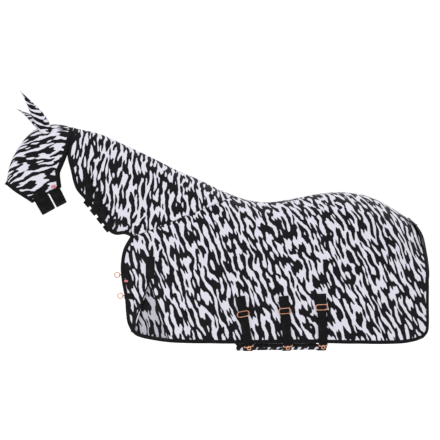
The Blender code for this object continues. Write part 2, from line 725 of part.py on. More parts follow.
def tube(name, points, radius, cyclic):
    """A round wire along points, as a closed mesh."""
    curve = bpy.data.curves.new(name, "CURVE")
    curve.dimensions = "3D"
    curve.bevel_depth = radius
    curve.bevel_resolution = 2
    curve.use_fill_caps = True
    spline = curve.splines.new("POLY")
    spline.points.add(len(points) - 1)
    for slot, point in zip(spline.points, points):
        slot.co = (*point, 1.0)
    spline.use_cyclic_u = cyclic
    wire = bpy.data.objects.new(name, curve)
    bpy.context.scene.collection.objects.link(wire)
    bpy.context.view_layer.update()
    mesh = bpy.data.meshes.new_from_object(wire.evaluated_get(bpy.context.evaluated_depsgraph_get()))
    bpy.data.objects.remove(wire, do_unlink=True)
    bpy.data.curves.remove(curve)
    form = bmesh.new()
    form.from_mesh(mesh)
    bmesh.ops.remove_doubles(form, verts=form.verts, dist=0.00001)
    bmesh.ops.recalc_face_normals(form, faces=form.faces)
    form.to_mesh(mesh)
    form.free()
    mesh.name = name
    return mesh


def joined(name, meshes, look):
    """One solid from several closed meshes that run into each other."""
    thing = add_object(name, meshes[0], look)
    for number, mesh in enumerate(meshes[1:]):
        other = bpy.data.objects.new(name + "_join_" + str(number), mesh)
        other.hide_render = True
        other.display_type = "WIRE"
        collection("cutters").objects.link(other)
        union = thing.modifiers.new("join", "BOOLEAN")
        union.operation = "UNION"
        union.object = other
    thing.data.shade_smooth()
    return thing


def make_slider(i, number):
    """A stadium ring in front of the webbing with its bar behind it."""
    top, bottom, down, across = strap_frame(i)
    height = SLIDER_HEIGHTS[i] * SHEET_DROP / PATTERN_DROP
    centre = top + down * ((height - top.y) / down.y)
    ring_out = STRAP_OUT + 3 * GAP + SLIDER_WIRE
    bar_out = STRAP_IN - 2 * GAP - SLIDER_BAR

    def place(u, v, out):
        return over_panel(centre + across * u + down * v, out)

    half_length = 0.5 * SLIDER_LENGTH - SLIDER_WIRE
    half_height = 0.5 * SLIDER_HEIGHT - SLIDER_WIRE
    ring = [place(u, v, ring_out) for u, v in stadium((0, 0), half_length, half_height)]
    leg = 0.5 * WEBBING_WIDTH + SLIDER_BAR + SLIDER_PLAY
    bar = [place(-half_length, 0, ring_out), place(-leg, 0, bar_out), place(leg, 0, bar_out),
           place(half_length, 0, ring_out)]
    meshes = [tube("ring", ring, SLIDER_WIRE, True), tube("bar", bar, SLIDER_BAR, False)]
    joined("belly_slider_" + number, meshes, ROSE_GOLD)


def make_belly_hook(i, number):
    """An eye under the end of the webbing and a round snap hook below it."""
    top, bottom, down, across = strap_frame(i)
    out = 0.5 * (STRAP_IN + STRAP_OUT)
    eye_half = 0.5 * HOOK_EYE_HEIGHT - HOOK_WIRE
    eye_centre = HOOK_EYE_HEIGHT * 0.5 + GAP

    def place(u, v):
        return over_panel(bottom + across * u + down * v, out)

    eye = [place(u, v) for u, v in stadium((0, eye_centre), 0.5 * HOOK_EYE_LENGTH - HOOK_WIRE, eye_half)]
    hook = []
    reach = HOOK_EYE_HEIGHT - HOOK_WIRE + HOOK_RADIUS
    for k in range(11):
        turn = math.radians(-90 + HOOK_SWEEP * k / 10)
        hook.append(place(HOOK_RADIUS * math.cos(turn), reach + HOOK_RADIUS * math.sin(turn)))
    meshes = [tube("eye", eye, HOOK_WIRE, True), tube("hook", hook, HOOK_WIRE, False)]
    joined("belly_hook_" + number, meshes, ROSE_GOLD)


# ---------------------------------------------------------------- chest fastenings
def chest_edge_x(z):
    """The front edge of the sheet at a height."""
    return min(CHEST, key=lambda p: abs(p.y - z)).x


def make_chest_fastenings():
    for word, (height, reach) in CHEST_CATCHES.items():
        z = height * SHEET_DROP / PATTERN_DROP
        edge = chest_edge_x(z)
        out = BINDING_STEP + LAY
        for side, name, length in ((-1, "chest_anchor_", CHEST_ANCHOR_LENGTH), (1, "chest_strap_", reach)):
            line = straight(Vector((edge + CHEST_SET, z)), Vector((edge + CHEST_SET + length, z)), 5)
            patch(name + word, line, CHEST_WEBBING_WIDTH, side, "body", out, WEBBING)
        centre = edge - CATCH_STAND
        make_chest_ring(word, centre, edge, z)
        make_chest_hook(word, centre, edge, z)


def flat_circle(x, y, z, radius, start, sweep, count):
    points = []
    for k in range(count + 1):
        turn = math.radians(start + sweep * k / count)
        points.append((x + radius * math.cos(turn), y, z + radius * math.sin(turn)))
    return points


def make_chest_ring(word, x, edge, z):
    """A ring ahead of the chest, with a shank back to the left side's webbing."""
    y = -(CATCH_OFFSET)
    ring = flat_circle(x, y, z, RING_RADIUS, 0, 360, 16)[:-1]
    seat = on_side(Vector((edge + CHEST_SET, z)), -1, body_half_width, BINDING_STEP + LAY + WEBBING)
    end = Vector((seat.x - 3 * GAP, seat.y, z))
    shank = [(x + RING_RADIUS, y, z), (0.5 * (x + RING_RADIUS + end.x), 0.5 * (y + end.y), z), end]
    joined("chest_ring_" + word, [tube("ring", ring, RING_WIRE, True),
                                  tube("shank", shank, SHANK_RADIUS, False)], ROSE_GOLD)


def make_chest_hook(word, x, edge, z):
    """A round snap hook beside the ring, with a shank back to the right side's strap."""
    y = CATCH_OFFSET
    hook = flat_circle(x, y, z, RING_RADIUS, 0, 320, 14)
    seat = on_side(Vector((edge + CHEST_SET, z)), 1, body_half_width, BINDING_STEP + LAY + WEBBING)
    end = Vector((seat.x - 3 * GAP, seat.y, z))
    shank = [(x + RING_RADIUS, y, z), (0.5 * (x + RING_RADIUS + end.x), 0.5 * (y + end.y), z), end]
    joined("chest_hook_" + word, [tube("hook", hook, HOOK_WIRE, False),
                                  tube("shank", shank, SHANK_RADIUS, False)], ROSE_GOLD)


# ---------------------------------------------------------------- belly flap
def flap_section():
    """The belly flap's path across the belly, as (y, z), from its left edge to its sewn edge."""
    half = 0.5 * BARREL_WIDTH
    hem = HEM[4][1] * SHEET_DROP / PATTERN_DROP
    sewn = half + RIDGE_GAP / 2 - CLOTH - BINDING_STEP - LAY
    low = hem - FLAP_DROP
    points = [(-0.940 * half, hem - 0.008), (-0.905 * half, hem - 0.026), (-0.83 * half, low + 0.011),
              (-0.60 * half, low + 0.002), (0.0, low), (0.62 * half, low + 0.004),
              (0.88 * half, low + 0.018), (sewn - 0.003, hem + 0.004), (sewn, hem + 0.020),
              (sewn, hem + FLAP_LAP)]
    return smooth([Vector(p) for p in points], 8)


def flap_place():
    """Map (x, length along the flap's section) to a point in space."""
    section = flap_section()
    total = sum((b - a).length for a, b in zip(section, section[1:]))

    def place(point):
        share = point.y / total
        spot = at(section, min(max(share, 0.0), 1.0))
        if share < 0:
            spot = section[0] + (section[0] - section[1]).normalized() * -point.y
        return Vector((point.x, spot.x, spot.y))
    return place, total


def make_belly_flap():
    place, total = flap_place()
    front, rear = graded(FLAP_EDGES)
    shares = [0.5 - 0.5 * math.cos(math.pi * share) for share in even(18)]
    rows = []
    for share in shares:
        s = BINDING_WIDTH + (total - BINDING_WIDTH) * share
        waist = FLAP_WAIST * math.sin(math.pi * min(s / total, 1.0))
        left = front.x + BINDING_WIDTH + waist
        right = rear.x - BINDING_WIDTH - waist
        rows.append([Vector((left + (right - left) * u, s)) for u in even(6)])
    grid = [[place(p) for p in row] for row in rows]
    cloth_piece("belly_flap", grid, (0, 0, -1), PRINT_MESH)
    corner = rows[0]
    edge = [row[0] for row in rows[::-1]] + corner[1:] + [row[-1] for row in rows[1:]]
    border("belly_flap_binding", edge, -1, place, (0, 0, -1), gap=2 * SEAM_GAP)
    for i in range(len(BELLY_STRAPS)):
        make_flap_webbing(i, place, total)


def make_flap_webbing(i, place, total):
    """Webbing sewn across the flap's outer face under each belly strap, and its ring."""
    number = str(i + 1)
    top, bottom, down, across = strap_frame(i)
    x = bottom.x + down.x * STRAP_RUN
    lift = BINDING_STEP + LAY + WEBBING
    rows = []
    for share in even(26):
        s = FLAP_WEBBING_START + FLAP_WEBBING_LENGTH * share**1.6
        here = place(Vector((x, s)))
        ahead = place(Vector((x, s + 0.004)))
        along = (ahead - here).normalized()
        out = Vector((0.0, along.z, -along.y))
        rows.append([here + out * lift + Vector((u * FLAP_WEBBING_WIDTH, 0, 0)) for u in (-0.5, 0, 0.5)])
    cloth_piece("flap_webbing_" + number, rows, (0, 0, -1), BLACK_WEBBING, WEBBING)
    start = place(Vector((x, 0.0)))
    rise = FLAP_RING_RADIUS + FLAP_RING_WIRE + FLAP_RING_RISE
    ring = flat_circle(start.x, start.y + 2 * GAP, start.z + rise, FLAP_RING_RADIUS, 0, 360, 14)[:-1]
    add_object("flap_ring_" + number, tube("ring", ring, FLAP_RING_WIRE, True), ROSE_GOLD).data.shade_smooth()


# ---------------------------------------------------------------- tail flap
def tail_place():
    """Map (y, length down the tail flap) to a point behind the sheet's rear edge."""
    centre = smooth(graded(TAIL_FLAP))
    total = sum((b - a).length for a, b in zip(centre, centre[1:]))
    out = normals(centre, 1)
    if out[0].y < 0:
        out = [-n for n in out]

    def place(point):
        share = max(0.0, min(1.0, point.y / total))
        index = min(int(share * (len(centre) - 1) + 0.5), len(centre) - 1)
        spot = at(centre, share)
        normal = out[index]
        width, depth = 0.5 * BARREL_WIDTH * TAIL_SHARE, TAIL_DEPTH
        sag = depth * (1 - math.sqrt(1 - min(abs(point.x) / width, 0.999) ** 2))
        sag *= 1.0 - 0.35 * share
        spot = spot - normal * sag
        extra = centre[-1] - centre[-2]
        if point.y > total:
            spot = spot + extra.normalized() * (point.y - total)
        return Vector((spot.x, point.x, spot.y))
    return place, total


def make_tail_flap():
    place, total = tail_place()
    rows = []
    length = total - BINDING_WIDTH
    for v in even(9):
        half = 0.5 * TAIL_FLAP_WIDTH * (1.0 - 0.35 * v**4) - BINDING_WIDTH
        rows.append([Vector((half * u, length * (v - 0.06 * v * u * u)))
                     for u in (-1, -0.75, -0.5, -0.25, 0, 0.25, 0.5, 0.75, 1)])
    cloth_piece("tail_flap", [[place(p) for p in row] for row in rows], (1, 0, 0), PRINT_MESH)
    edge = [row[0] for row in rows] + rows[-1][1:] + [row[-1] for row in rows[::-1]][1:]
    border("tail_flap_binding", edge, 1, place, (1, 0, 0))


# ---------------------------------------------------------------- tabs and straps under the neck
def bend(start, control, end, count):
    """Points on a line that leaves start towards control and arrives at end."""
    points = []
    for t in even(count):
        points.append(start * (1 - t) ** 2 + control * 2 * t * (1 - t) + end * t * t)
    return points


def wrap(name, near, width, bulge, form, out, thickness):
    """A strap that follows the line near down the left side, passes under and is sewn on the right."""
    edge = near[-1]
    outward = (near[-1] - near[-2]).normalized()
    across = normals(near, 1)
    stations = [(point, along, -1, None) for point, along in zip(near, across)]
    bridge = 8
    for k in range(1, bridge):
        stations.append((edge, across[-1], 0, math.pi * k / bridge))
    for step in even(2):
        stations.append((edge - outward * TAB_SEWN * step, across[-1], 1, None))
    grid = []
    for point, along, side, turn in stations:
        row = []
        for u in (-0.5, -0.17, 0.17, 0.5):
            spot = point + along * width * u
            if turn is None:
                row.append(on_panel(spot, side, form, out + thickness))
            else:
                start = on_panel(spot, -1, form, out + thickness)
                push = outward * bulge * math.sin(turn)
                row.append(Vector((start.x + push.x, start.y * math.cos(turn), start.z + push.y)))
        grid.append(row)
    return cloth_piece(name, grid, (outward.x, 0, outward.y), BLACK_WEBBING, thickness)


def make_neck_tabs():
    front, rear = graded([THROAT_EDGE[-1], THROAT_EDGE[0]])
    along = (rear - front).normalized()
    inward = Vector((-along.y, along.x))
    for i, (share, top, lay) in enumerate(NECK_TABS):
        edge = front.lerp(rear, share) - inward * TAB_OVERHANG
        line = bend(graded_point(top), edge + inward * TAB_REACH, edge, 10)
        wrap("neck_tab_" + str(i + 1), line, TAB_WIDTH, TAB_DROP, "body",
             BINDING_STEP + lay, TAB_THICKNESS)


def make_throat_straps():
    for i, (x_front, x_rear, lap) in enumerate(THROAT_STRAPS):
        front = min(JAW, key=lambda p: abs(p.x - graded_point((x_front, 0)).x))
        rear = min(JAW, key=lambda p: abs(p.x - graded_point((x_rear, 0)).x))
        edge = front.lerp(rear, 0.5)
        along = (rear - front).normalized()
        inward = Vector((-along.y, along.x))
        start = edge - inward * TAB_OVERHANG
        line = bend(edge + inward * lap, edge, start, 6)
        wrap("throat_strap_" + str(i + 1), line, (rear - front).length,
             THROAT_STRAP_DROP - TAB_OVERHANG, "mask", BINDING_STEP + THROAT_LAY, TAB_THICKNESS)


# ---------------------------------------------------------------- ears and labels
def make_ear(side, word):
    """An ear cover: an oval foot on the mask that narrows to a closed tip."""
    base = graded_point(EAR_BASE)
    tip_line = [Vector(p) for p in EAR_LINES[word]]
    around = 12
    foot = []
    for k in range(around):
        turn = 2 * math.pi * k / around
        spot = base + Vector((EAR_FOOT[0] * math.cos(turn), EAR_FOOT[1] * math.sin(turn)))
        spot += Vector((EAR_LEAN * EAR_FOOT[1] * math.sin(turn), 0))
        foot.append(on_side(spot, side, mask_half_width, LAY + GAP))
    centre = sum(foot, Vector()) / around
    rows = [foot]
    levels = 7
    for level in range(1, levels + 1):
        t = level / levels
        spine = centre + tip_line[0] * t + tip_line[1] * t * t
        spine.y = centre.y + side * EAR_SPREAD * t
        swell_here = (1 + 0.55 * math.sin(math.pi * min(1.0, t * 1.1))) * (1 - t) ** 0.75
        size = max(swell_here, 0.06)
        ring = []
        for k in range(around):
            offset = foot[k] - centre
            offset.y *= 1.0 - 0.45 * t
            flat = offset.copy()
            flat.z *= 1.0 - 0.8 * t
            ring.append(spine + flat * size)
        rows.append(ring)
    points = [p for row in rows for p in row]
    faces = []
    for j in range(levels):
        for k in range(around):
            nxt = (k + 1) % around
            faces.append((j * around + k, j * around + nxt, (j + 1) * around + nxt, (j + 1) * around + k))
    faces.append([levels * around + k for k in range(around)])
    form = bpy.data.meshes.new("ear_" + word)
    form.from_pydata(points, [], faces)
    form.update()
    edit = bmesh.new()
    edit.from_mesh(form)
    bmesh.ops.recalc_face_normals(edit, faces=edit.faces)
    tip = max(edit.faces, key=lambda f: f.calc_center_median().z)
    if tip.normal.dot(tip.calc_center_median() - centre) < 0:
        bmesh.ops.reverse_faces(edit, faces=edit.faces)
    edit.to_mesh(form)
    edit.free()
    ear = add_object("ear_" + word, form, PRINT_MESH)
    shell = ear.modifiers.new("cloth", "SOLIDIFY")
    shell.thickness = EAR_CLOTH
    shell.offset = -1.0
    ear.data.shade_smooth()


def make_labels():
    chest = graded_point(CHEST_LABEL)
    patch("chest_label", straight(chest, chest + Vector((0.0, -0.012)), 1), 0.020, -1, "body",
          LAY, LABEL, WOVEN_LABEL)
    mask = graded_point(MASK_LABEL)
    patch("mask_label", straight(mask, mask + Vector((0.004, -0.016)), 1), 0.026, -1, "mask",
          LAY, LABEL, WOVEN_LABEL)


def main():
    clear_scene()
    for side, word in ((-1, "left"), (1, "right")):
        panel = make_body(side, word)
        make_neck(side, word)
        mask = make_mask(side, word)
        TREES[("body", side)] = tree_of("body", side)
        TREES[("mask", side)] = tree_of("mask", side)
        cut_gusset(panel, side, word)
        make_ear(side, word)
        cut_ear_hole(mask, side, word)
        top, bottom = graded(GUSSET_PATCH)
        patch("gusset_patch_" + word, straight(top, bottom, 8), WEBBING_WIDTH, side, "body",
              LAY, WEBBING)
    make_spine_tape()
    make_belly_straps()
    make_chest_fastenings()
    make_belly_flap()
    make_tail_flap()
    make_neck_tabs()
    make_throat_straps()
    make_labels()


main()
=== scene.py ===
# %% [markdown]
# # A zebra-print fly sheet
# A fly sheet keeps flies off a horse in summer. This one is a light mesh body sheet with a neck cover
# sewn to it, a mask with ear covers, a flap under the belly and a flap over the tail. The solid model
# is loaded first and stays as the frame: every piece made below lies in its space, and all but the
# belly flap's cloth, binding and stitches ride on its bodies, so the joints of the solid model move
# them.

# %% Load the frame
import math

import bmesh
import bpy
import numpy as np
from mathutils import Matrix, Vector


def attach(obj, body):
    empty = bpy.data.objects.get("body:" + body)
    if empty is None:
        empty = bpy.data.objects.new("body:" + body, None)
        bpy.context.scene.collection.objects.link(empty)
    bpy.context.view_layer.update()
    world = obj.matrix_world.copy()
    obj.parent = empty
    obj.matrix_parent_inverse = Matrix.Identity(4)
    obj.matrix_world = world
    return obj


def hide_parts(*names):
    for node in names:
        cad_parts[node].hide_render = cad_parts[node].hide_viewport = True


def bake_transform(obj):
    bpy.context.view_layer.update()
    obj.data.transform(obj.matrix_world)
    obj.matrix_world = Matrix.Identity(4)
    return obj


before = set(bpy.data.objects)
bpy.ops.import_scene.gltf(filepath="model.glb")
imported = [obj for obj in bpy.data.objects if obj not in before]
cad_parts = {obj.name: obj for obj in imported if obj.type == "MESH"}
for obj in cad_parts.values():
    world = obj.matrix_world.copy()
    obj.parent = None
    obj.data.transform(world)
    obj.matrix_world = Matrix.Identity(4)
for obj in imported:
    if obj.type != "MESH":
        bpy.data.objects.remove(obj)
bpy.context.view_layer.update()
scene = bpy.context.scene

# %% [markdown]
# ## Camera, floor and light
# The sheet is seen from its left side, from far off with a long lens, so that it is nearly free of
# perspective. The floor is a plain pale sheet at the height where the horse's hooves would stand.
# A bright pale world fills the shadows, and two large soft lamps add shape from above and in front.

# %% Camera
CAMERA_AWAY = 9.0
CAMERA_TURN = math.radians(-4.0)
CAMERA_RISE = math.radians(1.6)
VIEW_CENTRE = Vector((-0.081, 0.0, -0.140))
VIEW_WIDTH = 2.54
SENSOR = 36.0

camera = bpy.data.objects.new("camera", bpy.data.cameras.new("camera"))
scene.collection.objects.link(camera)
back = Vector((math.sin(CAMERA_TURN) * math.cos(CAMERA_RISE),
               -math.cos(CAMERA_TURN) * math.cos(CAMERA_RISE), math.sin(CAMERA_RISE)))
camera.data.sensor_width = SENSOR
camera.data.lens = SENSOR * (CAMERA_AWAY - 0.2) / VIEW_WIDTH
camera.location = VIEW_CENTRE + back * CAMERA_AWAY
camera.rotation_euler = (-back).to_track_quat("-Z", "Y").to_euler()
scene.camera = camera
print("lens", round(camera.data.lens, 1), "mm")

# %% Floor and backdrop
FLOOR_HEIGHT = -1.55
FLOOR_REACH = 60.0


def plain_material(name, colour, roughness):
    made = bpy.data.materials.new(name)
    made.use_nodes = True
    shader = made.node_tree.nodes["Principled BSDF"]
    shader.inputs["Base Color"].default_value = (*colour, 1.0)
    shader.inputs["Roughness"].default_value = roughness
    return made


floor_mesh = bpy.data.meshes.new("floor")
floor_mesh.from_pydata([(sx * FLOOR_REACH, sy * FLOOR_REACH, FLOOR_HEIGHT)
                        for sx, sy in ((-1, -1), (1, -1), (1, 1), (-1, 1))], [], [(0, 1, 2, 3)])
floor_paint = plain_material("floor_paint", (0.96, 0.96, 0.96), 0.9)
floor_paint.node_tree.nodes["Principled BSDF"].inputs["Emission Color"].default_value = (1, 1, 1, 1)
floor_paint.node_tree.nodes["Principled BSDF"].inputs["Emission Strength"].default_value = 0.10
floor_mesh.materials.append(floor_paint)
floor = bpy.data.objects.new("floor", floor_mesh)
scene.collection.objects.link(floor)

# %% Light
scene.view_settings.view_transform = "Standard"
world = bpy.data.worlds.new("studio")
world.use_nodes = True
world.node_tree.nodes["Background"].inputs["Color"].default_value = (1.0, 1.0, 1.0, 1.0)
world.node_tree.nodes["Background"].inputs["Strength"].default_value = 1.02
scene.world = world


def softbox(name, place, size, power):
    lamp = bpy.data.lights.new(name, "AREA")
    lamp.shape = "DISK"
    lamp.size = size
    lamp.energy = power
    thing = bpy.data.objects.new(name, lamp)
    thing.location = place
    thing.rotation_euler = (VIEW_CENTRE - Vector(place)).to_track_quat("-Z", "Y").to_euler()
    scene.collection.objects.link(thing)
    return thing


softbox("key_lamp", (-2.6, -5.0, 4.6), 2.6, 130)
softbox("back_lamp", (3.5, 3.5, 5.0), 2.6, 110)
print("lamps and floor are set")

# %% [markdown]
# ## Finishes: effects shared by several materials
# An effect that more than one finish needs is a node group with named inputs, placed in each material
# with its own values. A small helper makes a group's sockets and places a node, so that each group
# below reads as a list of steps.

# %% Helpers for node trees
def group_of(name, inputs, outputs):
    """A new shader group with named sockets; inputs are (name, kind, value)."""
    tree = bpy.data.node_groups.new(name, "ShaderNodeTree")
    for label, kind, value in inputs:
        socket = tree.interface.new_socket(name=label, in_out="INPUT", socket_type="NodeSocket" + kind)
        if value is not None:
            socket.default_value = value
    for label, kind in outputs:
        tree.interface.new_socket(name=label, in_out="OUTPUT", socket_type="NodeSocket" + kind)
    return tree, tree.nodes.new("NodeGroupInput").outputs, tree.nodes.new("NodeGroupOutput").inputs


def put(tree, kind, values=(), **settings):
    """Place a node, set its options, and fill its inputs by name or number with values or links."""
    node = tree.nodes.new(kind)
    for key, value in settings.items():
        setattr(node, key, value)
    for key, value in dict(values).items():
        if isinstance(value, bpy.types.NodeSocket):
            tree.links.new(value, node.inputs[key])
        else:
            node.inputs[key].default_value = value
    return node.outputs


def sums(tree, operation, *values):
    return put(tree, "ShaderNodeMath", dict(enumerate(values)), operation=operation)[0]


def ramp(tree, value, low, high):
    """A smooth step of a value from 0 at low to 1 at high."""
    return put(tree, "ShaderNodeMapRange", {"Value": value, "From Min": low, "From Max": high},
               interpolation_type="SMOOTHSTEP")[0]


def mixed(tree, share, first, second):
    node = tree.nodes.new("ShaderNodeMix")
    node.data_type = "RGBA"
    for index, value in ((0, share), (6, first), (7, second)):
        if isinstance(value, bpy.types.NodeSocket):
            tree.links.new(value, node.inputs[index])
        else:
            node.inputs[index].default_value = value
    return node.outputs[2]


# %% [markdown]
# ### The zebra print
# A zebra's stripes are long, waver, fork and end in points. Plain noise that is stretched along the
# stripes and cut at its middle value gives patches of that kind. The noise is first pushed sideways by
# a broad soft noise, which makes the stripes lean and swell, and a finer one that frays their edges.

# %% The zebra print group
def make_zebra():
    tree, given, result = group_of("zebra print", [
        ("Print", "Vector", None), ("Stripe", "Float", 0.0176), ("Stretch", "Float", 0.25),
        ("Sway", "Float", 0.017), ("Fray", "Float", 0.0036), ("Balance", "Float", 0.468),
        ("Ripple", "Float", 2.75), ("Even", "Float", 0.07),
        ("Edge", "Float", 0.02)], [("Black", "Float")])
    sway = put(tree, "ShaderNodeTexNoise", {"Vector": given["Print"], "Scale": 6.5, "Detail": 1.0},
               noise_dimensions="2D")["Color"]
    fray = put(tree, "ShaderNodeTexNoise", {"Vector": given["Print"], "Scale": 42.0, "Detail": 1.0},
               noise_dimensions="2D")["Color"]
    moved = given["Print"]
    for noise, amount in ((sway, given["Sway"]), (fray, given["Fray"])):
        centred = put(tree, "ShaderNodeVectorMath", {0: noise, 1: (0.5, 0.5, 0.5)},
                      operation="SUBTRACT")[0]
        doubled = sums(tree, "MULTIPLY", amount, 2.0)
        step = put(tree, "ShaderNodeVectorMath", {0: centred, "Scale": doubled}, operation="SCALE")[0]
        moved = put(tree, "ShaderNodeVectorMath", {0: moved, 1: step}, operation="ADD")[0]
    cells = sums(tree, "DIVIDE", 1.0, given["Stripe"])
    along = sums(tree, "MULTIPLY", cells, given["Stretch"])
    size = put(tree, "ShaderNodeCombineXYZ", {0: cells, 1: along, 2: 1.0})[0]
    stretched = put(tree, "ShaderNodeVectorMath", {0: moved, 1: size}, operation="MULTIPLY")[0]
    patches = put(tree, "ShaderNodeTexNoise", {"Vector": stretched, "Scale": 1.0, "Detail": 0.0},
                  noise_dimensions="2D")[0]
    # An even ripple across the stripes keeps their spacing more regular.
    turns = put(tree, "ShaderNodeSeparateXYZ", {0: stretched})["X"]
    ripple = sums(tree, "SINE", sums(tree, "MULTIPLY", turns, given["Ripple"]))
    patches = sums(tree, "MULTIPLY_ADD", ripple, given["Even"], patches)
    low = sums(tree, "SUBTRACT", given["Balance"], given["Edge"])
    high = sums(tree, "ADD", given["Balance"], given["Edge"])
    tree.links.new(ramp(tree, patches, low, high), result["Black"])
    return tree


ZEBRA = make_zebra()
print("group:", ZEBRA.name)

# %% [markdown]
# ### Weave, ribs, scuffs and creases
# Close up, the sheet is a fine knitted mesh with small holes in rows, half a step apart in every other
# row. Webbing shows diagonal ribs, and wears pale in patches, most of all on the ribs' crests. Each of
# these is a small group that gives a height for the bump or a mask, from the piece's own UV map in
# metres.

# %% Weave, rib and cloud groups
def make_mesh_knit():
    tree, given, result = group_of("mesh knit", [
        ("Cloth", "Vector", None), ("Pitch", "Float", 0.0022)], [("Hole", "Float"), ("Height", "Float")])
    parts = put(tree, "ShaderNodeSeparateXYZ", {0: given["Cloth"]})
    row = sums(tree, "DIVIDE", parts["Y"], given["Pitch"])
    half_step = sums(tree, "MULTIPLY", sums(tree, "FLOORED_MODULO", sums(tree, "FLOOR", row), 2.0), 0.5)
    column = sums(tree, "ADD", sums(tree, "DIVIDE", parts["X"], given["Pitch"]), half_step)
    near = [sums(tree, "ABSOLUTE", sums(tree, "SUBTRACT", sums(tree, "FRACT", value), 0.5))
            for value in (column, row)]
    squared = [sums(tree, "MULTIPLY", value, value) for value in near]
    reach = sums(tree, "SQRT", sums(tree, "ADD", *squared))
    hole = ramp(tree, reach, 0.34, 0.20)
    tree.links.new(hole, result["Hole"])
    tree.links.new(sums(tree, "SUBTRACT", 1.0, hole), result["Height"])
    return tree


def make_ribs():
    tree, given, result = group_of("webbing ribs", [
        ("Strap", "Vector", None), ("Rib", "Float", 0.0021), ("Slant", "Float", 0.7)],
        [("Height", "Float"), ("Shade", "Float")])
    parts = put(tree, "ShaderNodeSeparateXYZ", {0: given["Strap"]})
    folded = sums(tree, "PINGPONG", parts["Y"], 0.0042)
    leaning = sums(tree, "MULTIPLY", folded, given["Slant"])
    turns = sums(tree, "DIVIDE", sums(tree, "ADD", parts["X"], leaning), given["Rib"])
    wave = sums(tree, "SINE", sums(tree, "MULTIPLY", turns, 2.0 * math.pi))
    tree.links.new(sums(tree, "MULTIPLY_ADD", wave, 0.5, 0.5), result["Height"])
    patches = put(tree, "ShaderNodeTexNoise", {"Vector": given["Strap"], "Scale": 30.0, "Detail": 3.0})
    tree.links.new(patches[0], result["Shade"])
    return tree


def make_clouds():
    tree, given, result = group_of("soft clouds", [
        ("Place", "Vector", None), ("Scale", "Float", 4.0), ("Low", "Float", 0.35),
        ("High", "Float", 0.70)], [("Mask", "Float")])
    noise = put(tree, "ShaderNodeTexNoise", {"Vector": given["Place"], "Scale": given["Scale"],
                                             "Detail": 4.0, "Roughness": 0.6})[0]
    tree.links.new(ramp(tree, noise, given["Low"], given["High"]), result["Mask"])
    return tree


KNIT, RIBS, CLOUDS = make_mesh_knit(), make_ribs(), make_clouds()
print("groups:", KNIT.name, RIBS.name, CLOUDS.name)

# %% [markdown]
# ## The finishes themselves
# The mesh is polyester with a slight sheen: lavender white where it isn't printed and a soft black where
# it is. Its inner face is the unprinted side, so the print only shows through it as grey, and the
# gusset inserts have a dimmer white, painted shade for the folds that they lie in behind the panel.
# The binding and the webbing are black and matt, and the hook-and-loop tabs have a furry nap. The metal
# is plated in rose gold and a little duller where it has been handled.

# %% Finish helpers
def finish(name, colour, roughness, **sockets):
    """A material with a Principled shader, whose constant values are set on its own sockets."""
    made = bpy.data.materials.new(name)
    made.use_nodes = True
    shader = made.node_tree.nodes["Principled BSDF"]
    shader.inputs["Base Color"].default_value = (*colour, 1.0)
    shader.inputs["Roughness"].default_value = roughness
    for key, value in sockets.items():
        shader.inputs[key.replace("_", " ")].default_value = value
    return made, made.node_tree, shader.inputs


def uv_of(tree):
    return put(tree, "ShaderNodeTexCoord")["UV"]


def use(tree, group, values):
    node = tree.nodes.new("ShaderNodeGroup")
    node.node_tree = group
    for key, value in values.items():
        if isinstance(value, bpy.types.NodeSocket):
            tree.links.new(value, node.inputs[key])
        else:
            node.inputs[key].default_value = value
    return node.outputs


def bumped(tree, height, reach, strength=1.0, under=None):
    values = {"Height": height, "Distance": reach, "Strength": strength}
    if under is not None:
        values["Normal"] = under
    return put(tree, "ShaderNodeBump", values)[0]


# %% Printed mesh, outside and inside
WHITE, PALE_BLACK = (0.640, 0.625, 0.700, 1.0), (0.0065, 0.0065, 0.0080, 1.0)


def make_print(name, white, black, sheen, dim_white=(0.53, 0.52, 0.61, 1.0)):
    made, tree, sockets = finish(name, white[:3], 0.62, Sheen_Weight=sheen, Sheen_Roughness=0.35,
                                 Specular_IOR_Level=0.05)
    uv = uv_of(tree)
    stripes = use(tree, ZEBRA, {"Print": uv})["Black"]
    knit = use(tree, KNIT, {"Cloth": uv})
    clouds = use(tree, CLOUDS, {"Place": uv, "Scale": 9.0})["Mask"]
    tinted = mixed(tree, sums(tree, "MULTIPLY", clouds, 0.16), white, dim_white)
    faded = mixed(tree, sums(tree, "MULTIPLY", clouds, 0.30), black, (0.013, 0.013, 0.016, 1.0))
    printed = mixed(tree, stripes, tinted, faded)
    # painted shade in the knit's holes, the dark space behind the cloth: grey in the white, black in the
    # black
    painted_hole_shade = mixed(tree, stripes, (0.10, 0.10, 0.12, 1.0), (0.003, 0.003, 0.004, 1.0))
    shade = mixed(tree, sums(tree, "MULTIPLY", knit["Hole"], 0.20), printed, painted_hole_shade)
    tree.links.new(shade, sockets["Base Color"])
    tree.links.new(sums(tree, "MULTIPLY_ADD", stripes, -0.10, 0.66), sockets["Roughness"])
    creases = bumped(tree, clouds, 0.0016, 0.35)
    tree.links.new(bumped(tree, knit["Height"], 0.0004, 0.5, creases), sockets["Normal"])
    return made


MESH = make_print("zebra_mesh", WHITE, PALE_BLACK, 0.03)
# the gusset inserts' print, with a dimmer white: painted shade for their folds behind the panel
MESH_SHADED = make_print("zebra_mesh_shaded", (0.46, 0.45, 0.51, 1.0), PALE_BLACK, 0.02,
                         (0.26, 0.26, 0.31, 1.0))
MESH_INSIDE = make_print("zebra_mesh_inside", (0.60, 0.59, 0.64, 1.0), (0.13, 0.13, 0.145, 1.0), 0.02)


